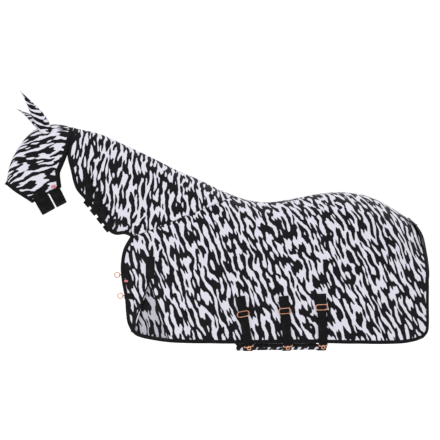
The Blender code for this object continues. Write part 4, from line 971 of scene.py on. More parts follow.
def make_bent_wire():
    tree, given, result = node_tree("bent wire", [
        ("Radius", "Float", 0.003), ("Sides", "Int", 14), ("Finish", "Material", None)])
    path = put(tree, "GeometryNodeMeshToCurve", {"Mesh": given["Geometry"]})[0]
    thick = put(tree, "GeometryNodeInputNamedAttribute", {"Name": "thick"}, data_type="FLOAT")[0]
    swollen = put(tree, "GeometryNodeSetCurveRadius", {"Curve": path, "Radius": thick})[0]
    circle = put(tree, "GeometryNodeCurvePrimitiveCircle", {"Resolution": given["Sides"],
                                                            "Radius": given["Radius"]})[0]
    values = {"Curve": swollen, "Profile Curve": circle, "Fill Caps": True}
    wire = put(tree, "GeometryNodeCurveToMesh", values)[0]
    finish_tree(tree, wire, given, result)
    return tree


STITCHING, BENT_WIRE = make_stitching(), make_bent_wire()


def grown(name, paths, tree, values):
    """Run a node tree over paths of (points, closed, thickness) and keep the result as a plain mesh."""
    verts, edges, thick = [], [], []
    for points, closed, width in paths:
        first, count = len(verts), len(points)
        verts += np.asarray(points).tolist()
        edges += [(first + i, first + i + 1) for i in range(count - 1)]
        edges += [(first + count - 1, first)] if closed else []
        thick += np.broadcast_to(width, count).tolist()
    mesh = bpy.data.meshes.new(name)
    mesh.from_pydata(verts, edges, [])
    mesh.attributes.new("thick", "FLOAT", "POINT").data.foreach_set("value", thick)
    thing = bpy.data.objects.new(name, mesh)
    scene.collection.objects.link(thing)
    nodes = thing.modifiers.new("nodes", "NODES")
    nodes.node_group = tree
    sockets = {item.name: item.identifier for item in tree.interface.items_tree
               if item.in_out == "INPUT"}
    for label, value in values.items():
        nodes[sockets[label]] = value
    return plain(thing)


def stitches(name, seams, finish_used=None, **sizes):
    paths = [(seam, False, 1.0) for seam in seams]
    return grown(name, paths, STITCHING, {"Finish": finish_used or THREAD, **sizes})


def wire(name, paths, radius, sides=14):
    return grown(name, paths, BENT_WIRE, {"Finish": ROSE_GOLD, "Radius": radius, "Sides": sides})


print("trees:", STITCHING.name, "and", BENT_WIRE.name)

# %% [markdown]
# ## Shoulder gussets and the spine tape
# A pleat at each shoulder gives the horse room to step out. The panel is open there in a narrow
# triangle, and a folded insert lies behind the opening. A webbing patch is sewn over its point, which
# takes the pull, and a narrow tape edges the opening. Under the ridge a tape covers the seam between
# the two halves.

# %% Strips of webbing on a form
def straight(a, b, count):
    return np.asarray(a, float) + (np.asarray(b, float) - a) * (np.arange(count + 1) / count)[:, None]


def strip(name, line, width, side, form, out, thickness, look, columns=8):
    """A strip of webbing along a side-view line; out is the height of its inner face."""
    line = np.asarray(line, float)
    across = width * (np.arange(columns + 1) / columns - 0.5)
    flat = line[:, None] + sideways(line, 1)[:, None] * across[None, :, None]
    grid = on_form(flat, side, form, np.full(flat.shape[:2], out + thickness))
    return slab(name, grid, (0, side, 0), thickness, look, strip_uv(line, across), soft=True)


def on_strip(points, side, form, out):
    return on_form(np.asarray(points, float), side, form, np.full(len(points), out))


def box_seam(line, width, inset_by, side, form, out, cross=True):
    """Stitch lines for a sewn box with a cross in it, on a strip along a line."""
    line = np.asarray(line, float)
    down = (line[-1] - line[0]) / np.linalg.norm(line[-1] - line[0])
    across = np.array([-down[1], down[0]]) * (0.5 * width - inset_by)
    a, b = line[0] + down * inset_by, line[-1] - down * inset_by
    corners = [a - across, a + across, b + across, b - across]
    runs = [(0, 1), (1, 2), (2, 3), (3, 0)] + ([(0, 2), (1, 3)] if cross else [])
    return [on_strip(straight(corners[i], corners[j], 12), side, form, out) for i, j in runs]


# %% Gusset inserts and patches
# the insert reaches behind the hem's binding at its rear foot, and stops in the round front corner
GUSSET_LAP, GUSSET_DEPTH, GUSSET_TURNED, GUSSET_FRONT_END = 0.012, 0.0046, 1.03, 0.99
PLEAT_DEPTH, BOX_INSET, PIPING_OUT, SEAM_LEAN = 0.022, 0.005, 0.0003, 0.004
PATCH_LINE = straight((-0.496, -0.346), (-0.496, -0.474), 16)
WEBBING_WIDTH, WEBBING_THICK = 0.050, 0.0025
PIPING_WIDTH, PIPING_THICK, PIPING_POINTS = 0.007, 0.0009, {"front": 57, "rear": 61}
SHEET_SEAMS, GUSSETS, PATCHES, PIPINGS = [], {}, {}, []
for word, side in (("left", -1), ("right", 1)):
    t = (GUSSET_TURNED * np.arange(49) / 48)[:, None]
    rise = np.concatenate([-GUSSET_LAP + 0 * t, GUSSET_LAP * (1 - t)], axis=1)
    left = GUSSET_APEX + (GUSSET_FEET[0] - GUSSET_APEX) * np.minimum(t, GUSSET_FRONT_END) + rise
    right = GUSSET_APEX + (GUSSET_FEET[1] - GUSSET_APEX) * t + rise * (-1, 1)
    u = (np.arange(33) / 32)[None, :, None]
    flat = left[:, None] * (1 - u) + right[:, None] * u
    across = u[..., 0]
    pleat = np.abs(np.sin(2.0 * math.pi * across))**0.8 * np.sin(math.pi * across)
    pleat = pleat * PLEAT_DEPTH * t**0.8
    hemmed = 1.0 - 0.75 * np.clip((t - 0.90) / 0.13, 0.0, 1.0)
    solid = on_form(flat, side, "body", -GUSSET_DEPTH - pleat * hemmed)
    uv = print_map(flat, solid, 15.0) + (0.7, 3.0 * (side > 0))
    # the insert's dimmer print is painted shade for its folds behind the panel
    GUSSETS[side] = slab("gusset_cloth_" + word, solid, (0, side, 0), CLOTH,
                         [MESH_SHADED, MESH_INSIDE], uv, inner_slot=1)
    PATCHES[side] = strip("gusset_patch_cloth_" + word, PATCH_LINE, WEBBING_WIDTH, side, "body", LAY,
                          WEBBING_THICK, WEBBING)
    SHEET_SEAMS += box_seam(PATCH_LINE, WEBBING_WIDTH, BOX_INSET, side, "body",
                            LAY + WEBBING_THICK)
    for hand, foot in zip(("front", "rear"), GUSSET_FEET):
        lean = np.array([(SEAM_LEAN if foot[0] > GUSSET_APEX[0] else -SEAM_LEAN), 0.0])
        line = straight(GUSSET_APEX + lean, foot + lean, 60)[:PIPING_POINTS[hand]]
        PIPINGS.append(strip(f"gusset_tape_{hand}_{word}", line, PIPING_WIDTH, side, "body",
                             PIPING_OUT, PIPING_THICK, BINDING))
        SHEET_SEAMS.append(on_strip(line, side, "body", PIPING_OUT + PIPING_THICK))
print("gussets:", len(GUSSETS), "patches:", len(PATCHES))

# %% Spine tape
TAPE_WIDTH, TAPE_THICK = 0.026, 0.0012


def under_ridge(line, shares, drop):
    """Points inside the ridge, at given distances to each side of the middle plane."""
    inward = -sideways(line, 1)
    inward[inward[:, 1] > 0] *= -1
    depth = np.linspace(0.0, 0.05, 120)
    probe = line[:, None] + inward[:, None] * depth[None, :, None]
    half = np.maximum.accumulate(body_half(probe, 1), axis=1)
    rows = []
    for point, way, width in zip(line, inward, half):
        reach = np.interp(np.abs(shares), width, depth) + drop
        spot = point + way * reach[:, None]
        rows.append(np.stack([spot[:, 0], shares, spot[:, 1]], axis=-1))
    return np.array(rows)


tape_line = spaced(RIDGE[2:-3], np.arange(161) / 160)
tape_shares = TAPE_WIDTH * (np.arange(9) / 8 - 0.5)
tape_grid = under_ridge(tape_line, tape_shares, 0.003 + LAY)
SPINE_TAPE = slab("spine_tape_cloth", tape_grid, (0, 0, 1), TAPE_THICK, BINDING,
                  strip_uv(tape_line, tape_shares), soft=True)
print("spine tape", round(float(lengths(tape_line)[-1]), 2), "m")

# %% Seams of the body sheet
for side in (-1, 1):
    for flat, first in ((BODY_GRID, 1), (NECK_GRID, 1)):
        inner_line = flat[:, 0] + (flat[:, 1] - flat[:, 0]) * 0.35
        SHEET_SEAMS.append(on_form(inner_line[3:SEAM_ROWS], side, "body",
                                   np.full(SEAM_ROWS - 3, THREAD_ON_CLOTH)))
    for key in ("edge", "neck"):
        line, hand, start, end, form = BORDERS[key]
        out = end_normals(line, hand, start, end)
        SHEET_SEAMS.append(on_form(line + out * SEAM_SET, side, form,
                                   np.full(len(line), SEAM_LIFT), RIDGE_GAP))
SHEET_THREAD = stitches("sheet_stitches", SHEET_SEAMS)
print("sheet stitches:", len(SHEET_THREAD.data.polygons), "faces")

# %% [markdown]
# ## Belly straps and their hardware
# Three webbing straps are sewn to the left side and clip to the belly flap. The strap's free length is
# set with a slider, a flat metal ring with a bar behind the webbing. At its end the webbing is folded
# round the bar of an eye, and a snap hook hangs from the eye. Rings, bars and hooks are all bent wire,
# so one Geometry Nodes tree sweeps a round section along each path, with the path's own thickness.

# %% Straps, anchors and folds
BELLY_STRAPS = [((0.012, -0.573), (0.060, -0.843)), ((0.262, -0.572), (0.285, -0.843)),
                ((0.478, -0.560), (0.490, -0.840))]
SLIDER_HEIGHTS = [-0.668, -0.652, -0.632]
ANCHOR_STACK, ANCHOR_RISE, ANCHOR_MARGIN = 0.0042, 0.004, 0.006
STRAP_IN = LAY + ANCHOR_STACK + GAP
STRAP_OUT = STRAP_IN + WEBBING_THICK
SLIDER_LENGTH, SLIDER_HEIGHT, SLIDER_WIRE, SLIDER_BAR, SLIDER_PLAY = 0.074, 0.036, 0.0026, 0.0014, 0.002
HOOK_WIRE, HOOK_RADIUS, HOOK_EYE_LENGTH, HOOK_EYE_HEIGHT = 0.0030, 0.009, 0.056, 0.017
LOOP_RADIUS, TOP_BOX, END_BOX = 0.0046, 0.046, 0.034


def stadium(centre, half_length, half_height, steps=16):
    turn = np.pi * np.arange(steps + 1) / steps - 0.5 * np.pi
    ends = [np.stack([centre[0] + end * (half_length - half_height + half_height * np.cos(turn)),
                      centre[1] + end * half_height * np.sin(turn)], axis=-1) for end in (1, -1)]
    return np.vstack(ends)


def strap_frame(index):
    top, bottom = (np.array(point) for point in BELLY_STRAPS[index])
    down = (bottom - top) / np.linalg.norm(bottom - top)
    return top, bottom, down, np.array([-down[1], down[0]])


def on_strap(centre, down, across, uv, out):
    flat = centre + uv[:, :1] * across + uv[:, 1:] * down
    return on_form(flat, -1, "body", np.broadcast_to(out, len(flat)))


BELLY = []
for i in range(3):
    top, bottom, down, across = strap_frame(i)
    number = str(i + 1)
    anchor_line = straight(top - down * ANCHOR_RISE, top + down * WEBBING_WIDTH, 10)
    strap_line = straight(top, bottom, 40)
    made = {"anchor": strip("belly_anchor_cloth_" + number, anchor_line, WEBBING_WIDTH + ANCHOR_MARGIN,
                            -1, "body", LAY, ANCHOR_STACK, WEBBING),
            "strap": strip("belly_strap_cloth_" + number, strap_line, WEBBING_WIDTH, -1, "body",
                           STRAP_IN, WEBBING_THICK, WEBBING, 10)}
    sewn = box_seam(straight(top, top + down * TOP_BOX, 8), WEBBING_WIDTH, BOX_INSET, -1, "body",
                    STRAP_OUT)
    sewn += box_seam(straight(bottom - down * END_BOX, bottom, 8), WEBBING_WIDTH, BOX_INSET, -1, "body",
                     STRAP_OUT, False)
    made["strap_thread"] = stitches("belly_strap_stitches_" + number, sewn)
    turn = np.linspace(0, 2 * math.pi, 21)[:-1]
    middle = 0.5 * (STRAP_IN + STRAP_OUT)
    rows = [on_strap(bottom, down, across,
                     np.stack([np.full(20, u), GAP + HOOK_WIRE + LOOP_RADIUS * np.sin(turn)], axis=-1),
                     middle + LOOP_RADIUS * np.cos(turn))
            for u in WEBBING_WIDTH * np.linspace(-0.5, 0.5, 9)]
    loop = np.array(rows)
    faces = [[j * 20 + k, j * 20 + (k + 1) % 20, (j + 1) * 20 + (k + 1) % 20, (j + 1) * 20 + k]
             for j in range(8) for k in range(20)]
    faces += [list(range(20)), list(range(160, 180))]
    loop_uv = np.stack(np.meshgrid(WEBBING_WIDTH * np.linspace(-0.5, 0.5, 9), LOOP_RADIUS * turn,
                                   indexing="ij"), axis=-1)[..., ::-1]
    made["loop"] = piece("belly_loop_" + number, loop.reshape(-1, 3), faces, loop_uv.reshape(-1, 2),
                         WEBBING)
    # the slider: a flat ring in front of the webbing, and its bar behind
    centre = top + down * ((SLIDER_HEIGHTS[i] - top[1]) / down[1])
    half_length, half_height = 0.5 * SLIDER_LENGTH - SLIDER_WIRE, 0.5 * SLIDER_HEIGHT - SLIDER_WIRE
    ring_out, bar_out = STRAP_OUT + 3 * GAP + SLIDER_WIRE, STRAP_IN - 2 * GAP - SLIDER_BAR
    leg = 0.5 * WEBBING_WIDTH + SLIDER_BAR + SLIDER_PLAY
    ring = on_strap(centre, down, across, stadium((0, 0), half_length, half_height, 20), ring_out)
    bar_u = np.array([-half_length, -leg, 0, leg, half_length])
    bar = on_strap(centre, down, across, np.stack([bar_u, 0 * bar_u], axis=-1),
                   np.array([ring_out, bar_out, bar_out, bar_out, ring_out]))
    made["slider"] = wire("belly_slider_metal_" + number,
                          [(ring, True, 1.0), (bar, False, SLIDER_BAR / SLIDER_WIRE)], SLIDER_WIRE)
    # the hook: an eye, a swivel, a round hook and its gate
    eye = on_strap(bottom, down, across, stadium((0, 0.5 * HOOK_EYE_HEIGHT + GAP),
                   0.5 * HOOK_EYE_LENGTH - HOOK_WIRE, 0.5 * HOOK_EYE_HEIGHT - HOOK_WIRE), middle)
    reach = HOOK_EYE_HEIGHT - HOOK_WIRE + HOOK_RADIUS
    bend = np.radians(-90 + 300 * np.arange(41) / 40)
    hook_uv = np.stack([HOOK_RADIUS * np.cos(bend), reach + HOOK_RADIUS * np.sin(bend)], axis=-1)
    hook = on_strap(bottom, down, across, hook_uv, middle)
    gate = on_strap(bottom, down, across, straight(hook_uv[-1], hook_uv[4] * (0.55, 1), 6), middle)
    post_v = HOOK_EYE_HEIGHT - HOOK_WIRE + np.array([-0.0045, -0.003, -0.0028, 0.0015, 0.0017, 0.004])
    post = on_strap(bottom, down, across, np.stack([0 * post_v, post_v], axis=-1), middle)
    taper = np.where(np.arange(41) > 38, 0.75, 1.0)
    made["hook"] = wire("belly_hook_metal_" + number, [(eye, True, 0.9), (hook, False, taper),
                        (gate, False, 0.55), (post, False, np.array([1.0, 1.0, 1.5, 1.5, 1.0, 1.0]))],
                        HOOK_WIRE)
    BELLY.append(made)
print("belly straps:", len(BELLY), "with", sorted(BELLY[0]))

# %% [markdown]
# ## Chest fastenings
# The front closes with two short straps: a ring on the left edge and a round snap hook on the right
# strap, which clips into it. Both stand just ahead of the edge, one on each side of the middle plane.

# %% Chest straps, rings and hooks
CHEST_CATCHES = {"upper": (-0.462, 0.100), "lower": (-0.585, 0.090)}
CHEST_WIDTH, CHEST_ANCHOR, CHEST_SET, CATCH_STAND, CATCH_OFFSET = 0.034, 0.045, 0.006, 0.020, 0.0034
RING_RADIUS, RING_WIRE, SHANK_RADIUS = 0.0155, 0.0028, 0.0016
CHEST_BOX, CHEST_INSET = 0.036, 0.004


def flat_circle(x, y, z, radius, start, sweep, count):
    turn = np.radians(start + sweep * np.arange(count + 1) / count)
    return np.stack([x + radius * np.cos(turn), np.full(count + 1, y), z + radius * np.sin(turn)],
                    axis=-1)


CHEST_PIECES = {}
for word, (z, reach) in CHEST_CATCHES.items():
    edge = CHEST[np.abs(CHEST[:, 1] - z).argmin(), 0]
    x, base = edge - CATCH_STAND, BINDING_STEP + LAY
    for side, kind, length in ((-1, "anchor", CHEST_ANCHOR), (1, "strap", reach)):
        line = straight((edge + CHEST_SET, z), (edge + CHEST_SET + length, z), 14)
        CHEST_PIECES[kind, word] = strip(f"chest_{kind}_cloth_{word}", line, CHEST_WIDTH, side, "body",
                                         base, WEBBING_THICK, WEBBING)
        box_line = straight((edge + CHEST_SET, z), (edge + CHEST_SET + CHEST_BOX, z), 8)
        box = box_seam(box_line, CHEST_WIDTH,
                       CHEST_INSET, side, "body", base + WEBBING_THICK)
        CHEST_PIECES[kind + "_thread", word] = stitches(f"chest_{kind}_stitches_{word}", box)
        y = side * CATCH_OFFSET
        seat = on_strip([(edge + CHEST_SET, z)], side, "body", base + WEBBING_THICK)[0]
        end = np.array([seat[0] - 3 * GAP, seat[1], z])
        start = np.array([x + RING_RADIUS, y, z])
        shank = straight(start, end, 8)
        if side < 0:
            ring = flat_circle(x, y, z, RING_RADIUS, 0, 360, 48)[:-1]
            paths = [(ring, True, 1.0), (shank, False, SHANK_RADIUS / RING_WIRE)]
            CHEST_PIECES["ring", word] = wire("chest_ring_metal_" + word, paths, RING_WIRE)
        else:
            hook = flat_circle(x, y, z, RING_RADIUS, 0, 320, 44)
            gate = straight(hook[-1], hook[0] + (hook[2] - hook[0]) * 0.6, 5)
            barrel = SHANK_RADIUS / HOOK_WIRE * np.array([1, 1, 1.9, 1.9, 1.9, 1.3, 1.3, 1, 1])
            paths = [(hook, False, 1.0), (gate, False, 0.5), (shank, False, barrel)]
            CHEST_PIECES["hook", word] = wire("chest_hook_metal_" + word, paths, HOOK_WIRE)
print("chest pieces:", len(CHEST_PIECES))

# %% [markdown]
# ## Belly flap
# The flap is sewn inside the right hem and passes under the belly to the left side, where three rings on
# its edge take the hooks. It is a strip of the same mesh on a curved path across the belly, so its grid
# is laid along that path, with a slight sag between the three webbings that cross it.

# %% The flap's path and grid
HEM_HEIGHT, FLAP_DROP, FLAP_LAP, FLAP_WAIST = -0.838, 0.055, 0.045, 0.035
FLAP_FRONT, FLAP_REAR = -0.012, 0.522
CAD_CLOTH = 0.003
half = 0.5 * BARREL_WIDTH
sewn = half + RIDGE_GAP / 2 - CAD_CLOTH - BINDING_STEP - LAY
low = HEM_HEIGHT - FLAP_DROP
FLAP_PATH = smooth([(-0.940 * half, HEM_HEIGHT - 0.008), (-0.905 * half, HEM_HEIGHT - 0.026),
                    (-0.83 * half, low + 0.011), (-0.60 * half, low + 0.002), (0.0, low),
                    (0.62 * half, low + 0.004), (0.88 * half, low + 0.018),
                    (sewn - 0.003, HEM_HEIGHT + 0.004), (sewn, HEM_HEIGHT + 0.020),
                    (sewn, HEM_HEIGHT + FLAP_LAP)], 24)
FLAP_RUN = lengths(FLAP_PATH)
FLAP_OUT = np.stack([np.gradient(FLAP_PATH[:, 1]), -np.gradient(FLAP_PATH[:, 0])], axis=-1)
FLAP_OUT /= np.linalg.norm(FLAP_OUT, axis=1)[:, None]
STRAP_LINES = [(np.array(b) + 0.03 * (np.array(b) - t) / np.linalg.norm(np.array(b) - t))[0]
               for t, b in BELLY_STRAPS]


def on_flap(x, s, out=0.0):
    """A place on the flap: x along the horse, s from the flap's left edge, out from its lower face."""
    x, s = np.broadcast_arrays(np.asarray(x, float), np.asarray(s, float))
    inside = np.clip(s, 0.0, FLAP_RUN[-1])
    y, z = (np.interp(inside, FLAP_RUN, FLAP_PATH[:, k]) for k in (0, 1))
    ny, nz = (np.interp(inside, FLAP_RUN, FLAP_OUT[:, k]) for k in (0, 1))
    free = step(s, 0.05, 0.16) * (1 - step(s, FLAP_RUN[-1] - 0.16, FLAP_RUN[-1] - 0.05))
    spans = np.cos(2 * math.pi * (x - STRAP_LINES[0]) / (STRAP_LINES[1] - STRAP_LINES[0]))
    lift = out - 0.0028 * free * (1 - spans) * 0.5
    over = np.minimum(s, 0.0)
    first = (FLAP_PATH[0] - FLAP_PATH[1]) / np.linalg.norm(FLAP_PATH[0] - FLAP_PATH[1])
    return np.stack([x, y + ny * lift - first[0] * over, z + nz * lift - first[1] * over], axis=-1)


def flap_edges(s):
    waist = FLAP_WAIST * np.sin(math.pi * np.minimum(s / FLAP_RUN[-1], 1.0))
    return FLAP_FRONT + BINDING_WIDTH + waist, FLAP_REAR - BINDING_WIDTH - waist


rows = BINDING_WIDTH + (FLAP_RUN[-1] - BINDING_WIDTH) * np.arange(91) / 90
left, right = flap_edges(rows)
u = np.arange(65) / 64
flap_x = left[:, None] * (1 - u) + right[:, None] * u
flap_s = np.repeat(rows[:, None], 65, axis=1)
angle = math.radians(12.0)
flap_uv = np.stack([flap_x * math.cos(angle) + flap_s * math.sin(angle),
                    flap_s * math.cos(angle) - flap_x * math.sin(angle) + 6.0], axis=-1)
FLAP = {"cloth": slab("belly_flap_cloth", on_flap(flap_x, flap_s), (0, 0, -1), CLOTH,
                      [MESH, MESH_INSIDE], flap_uv, inner_slot=1)}
edge = np.vstack([np.stack([left, rows], axis=-1)[::-1],
                  np.stack([flap_x[0, 1:], flap_s[0, 1:]], axis=-1),
                  np.stack([right, rows], axis=-1)[1:]])
edge_out = sideways(edge, -1)
FLAP["binding"] = binding("belly_flap_tape", edge, edge_out,
                          lambda flat, out: on_flap(flat[..., 0], flat[..., 1], out), (0, 0, -1))
seam = edge + edge_out * SEAM_SET
flap_seams = [on_flap(seam[:, 0], seam[:, 1], SEAM_LIFT)]

# %% Webbing and rings on the flap
FLAP_WEBBING_WIDTH, FLAP_WEBBING_LENGTH, FLAP_WEBBING_START = 0.045, 0.52, 0.002
FLAP_RING_RADIUS, FLAP_RING_WIRE, FLAP_RING_RISE = 0.011, 0.0022, 0.0008
for i, x in enumerate(STRAP_LINES):
    s = FLAP_WEBBING_START + FLAP_WEBBING_LENGTH * np.arange(91) / 90
    across = FLAP_WEBBING_WIDTH * (np.arange(9) / 8 - 0.5)
    lift = BINDING_STEP + LAY + WEBBING_THICK
    grid = on_flap(x + across[None], s[:, None], lift)
    FLAP[f"webbing_{i + 1}"] = slab(f"flap_webbing_cloth_{i + 1}", grid, (0, 0, -1), WEBBING_THICK,
                                    WEBBING, strip_uv(np.stack([s, 0 * s], axis=-1), across), soft=True)
    for off in (-0.4, 0.4):
        flap_seams.append(on_flap(x + off * FLAP_WEBBING_WIDTH, s[3:-1], lift + THREAD_ON_CLOTH))
    start = on_flap(x, 0.0)
    rise = FLAP_RING_RADIUS + FLAP_RING_WIRE + FLAP_RING_RISE
    ring = flat_circle(start[0], start[1] + 2 * GAP, start[2] + rise, FLAP_RING_RADIUS, 0, 360, 40)[:-1]
    FLAP[f"ring_{i + 1}"] = wire(f"flap_ring_metal_{i + 1}", [(ring, True, 1.0)], FLAP_RING_WIRE)
FLAP["thread"] = stitches("belly_flap_stitches", flap_seams)
print("flap pieces:", sorted(FLAP))

# %% [markdown]
# ## Tail flap
# The tail flap hangs from the dock over the top of the tail. It is rounded across and narrows to its
# lower end, and it is bound on all its free edges.

# %% The tail flap
TAIL_LINE_DOWN = smooth([(1.046, -0.128), (1.088, -0.168), (1.126, -0.232), (1.146, -0.330),
                         (1.157, -0.408), (1.160, -0.486), (1.150, -0.532)], 20)
TAIL_WIDTH, TAIL_SHARE, TAIL_DEPTH = 0.20, 0.62, 0.13
TAIL_RUN = lengths(TAIL_LINE_DOWN)
TAIL_OUT = sideways(TAIL_LINE_DOWN, 1)
TAIL_OUT *= np.sign(TAIL_OUT[0, 1])


def on_tail(y, s, out=0.0):
    y, s = np.broadcast_arrays(np.asarray(y, float), np.asarray(s, float))
    inside = np.clip(s, 0.0, TAIL_RUN[-1])
    x, z = (np.interp(inside, TAIL_RUN, TAIL_LINE_DOWN[:, k]) for k in (0, 1))
    nx, nz = (np.interp(inside, TAIL_RUN, TAIL_OUT[:, k]) for k in (0, 1))
    width = 0.5 * BARREL_WIDTH * TAIL_SHARE
    sag = TAIL_DEPTH * (1 - np.sqrt(1 - np.minimum(np.abs(y) / width, 0.999)**2))
    sag = sag * (1.0 - 0.35 * inside / TAIL_RUN[-1])
    ripple = 0.0022 * np.sin(70.0 * y + 1.0) * step(s, 0.08, 0.40)
    last = TAIL_LINE_DOWN[-1] - TAIL_LINE_DOWN[-2]
    over = np.maximum(s - TAIL_RUN[-1], 0.0) / np.linalg.norm(last)
    lift = out - sag + ripple
    return np.stack([x + nx * lift + last[0] * over, y, z + nz * lift + last[1] * over], axis=-1)


v, u = np.arange(61) / 60, np.linspace(-1, 1, 33)
half_widths = 0.5 * TAIL_WIDTH * (1.0 - 0.35 * v**4) - BINDING_WIDTH
tail_y = half_widths[:, None] * u
tail_s = (TAIL_RUN[-1] - BINDING_WIDTH) * (v[:, None] - 0.06 * v[:, None] * u**2)
TAIL = {"cloth": slab("tail_flap_cloth", on_tail(tail_y, tail_s), (1, 0, 0), CLOTH, [MESH, MESH_INSIDE],
                      np.stack([tail_y + 8.0, tail_s], axis=-1), inner_slot=1)}
flat = np.stack([tail_y, tail_s], axis=-1)
edge = np.vstack([flat[:, 0], flat[-1, 1:], flat[::-1, -1][1:]])
edge_out = sideways(edge, 1)
TAIL["binding"] = binding("tail_flap_tape", edge, edge_out,
                          lambda flat, out: on_tail(flat[..., 0], flat[..., 1], out), (1, 0, 0))
seam = edge + edge_out * SEAM_SET
TAIL["thread"] = stitches("tail_flap_stitches", [on_tail(seam[:, 0], seam[:, 1], SEAM_LIFT)])
print("tail flap is", round(float(TAIL_RUN[-1]), 2), "m long")

# %% [markdown]
# ## Tabs under the neck and straps under the jaw
# Four hook-and-loop tabs close the neck cover under the throat, and two wider ones close the mask under
# the jaw. Each comes down the left side, passes under and is sewn on the right. The path has three
# parts: down the left form, across underneath in a half round, and a short way up the right form.

# %% Wrapped tabs
TAB_WIDTH, TAB_THICK, TAB_DROP = 0.042, 0.003, 0.006
TAB_OVERHANG, TAB_SEWN, TAB_REACH, TAB_THREAD = 0.007, 0.011, 0.040, 0.0003
NECK_TABS = [(0.09, (-0.863, 0.124), 0.0022), (0.345, (-0.795, 0.031), 0.0014),
             (0.61, (-0.762, -0.060), 0.0011), (0.865, (-0.716, -0.128), 0.0009)]
THROAT_STRAPS = [(-1.161, -1.092, 0.040), (-1.078, -1.020, 0.012)]
THROAT_DROP, THROAT_LAY = 0.095, 0.0005


def bend_line(start, control, end, count):
    t = (np.arange(count + 1) / count)[:, None]
    return start * (1 - t)**2 + control * 2 * t * (1 - t) + end * t * t


def tab(name, near, width, bulge, form, out):
    """A tab down the left side, under the throat and up to where it is sewn on the right."""
    edge, normal = near[-1], sideways(near, 1)
    outward = (near[-1] - near[-2]) / np.linalg.norm(near[-1] - near[-2])
    across = width * (np.arange(11) / 10 - 0.5)
    flat = near[:, None] + normal[:, None] * across[None, :, None]
    rows = list(on_form(flat, -1, form, np.full(flat.shape[:2], out + TAB_THICK)))
    last = edge + normal[-1] * across[:, None]
    start = on_form(last, -1, form, np.full(len(last), out + TAB_THICK))
    for turn in math.pi * np.arange(1, 28) / 28:
        push = outward * bulge * math.sin(turn)
        rows.append(np.stack([start[:, 0] + push[0], start[:, 1] * math.cos(turn),
                              start[:, 2] + push[1]], axis=-1))
    for share in np.linspace(0.0, 1.0, 4):
        rows.append(on_form(last - outward * TAB_SEWN * share, 1, form,
                            np.full(len(last), out + TAB_THICK)))
    grid = np.array(rows)
    uv = strip_uv(grid[:, 5], across)
    made = slab(name, grid, (outward[0], 0, outward[1]), TAB_THICK, NAP, uv, soft=True)
    inset_by = 2 if width < 0.06 else 1
    count = len(near)
    border = [grid[2:count, inset_by], grid[2:count, -1 - inset_by], grid[2, inset_by:-inset_by]]
    normal3 = grid_normals(grid, (outward[0], 0, outward[1]))
    lifted = [border[0] + normal3[2:count, inset_by] * TAB_THREAD,
              border[1] + normal3[2:count, -1 - inset_by] * TAB_THREAD,
              border[2] + normal3[2, inset_by:-inset_by] * TAB_THREAD]
    return made, stitches(name + "_stitches", lifted)


TABS = {}
throat_front, throat_rear = np.array(THROAT_EDGE[-1]), np.array(THROAT_EDGE[0])
along = (throat_rear - throat_front) / np.linalg.norm(throat_rear - throat_front)
inward = np.array([-along[1], along[0]])
for i, (share, top, lay) in enumerate(NECK_TABS):
    edge = throat_front + (throat_rear - throat_front) * share - inward * TAB_OVERHANG
    line = bend_line(np.array(top), edge + inward * TAB_REACH, edge, 28)
    TABS[f"neck_tab_{i + 1}"] = tab(f"neck_tab_cloth_{i + 1}", line, TAB_WIDTH, TAB_DROP, "body",
                                    BINDING_STEP + lay)
for i, (x_front, x_rear, lap) in enumerate(THROAT_STRAPS):
    front, rear = JAW[np.abs(JAW[:, 0] - x_front).argmin()], JAW[np.abs(JAW[:, 0] - x_rear).argmin()]
    edge, along = 0.5 * (front + rear), (rear - front) / np.linalg.norm(rear - front)
    inward = np.array([-along[1], along[0]])
    line = bend_line(edge + inward * lap, edge, edge - inward * TAB_OVERHANG, 24)
    TABS[f"throat_strap_{i + 1}"] = tab(f"throat_strap_cloth_{i + 1}", line,
                                        float(np.linalg.norm(rear - front)),
                                        THROAT_DROP - TAB_OVERHANG, "mask", BINDING_STEP + THROAT_LAY)
print("tabs:", sorted(TABS))

# %% [markdown]
# ## Ears
# An ear cover is a cone of the same mesh that is widest a little above its foot, flattens as it rises
# and closes in a point. Rings of points along a bent centre line give its shape, and a Solidify
# modifier gives the thickness of the cloth, as it needs no care at the rim.

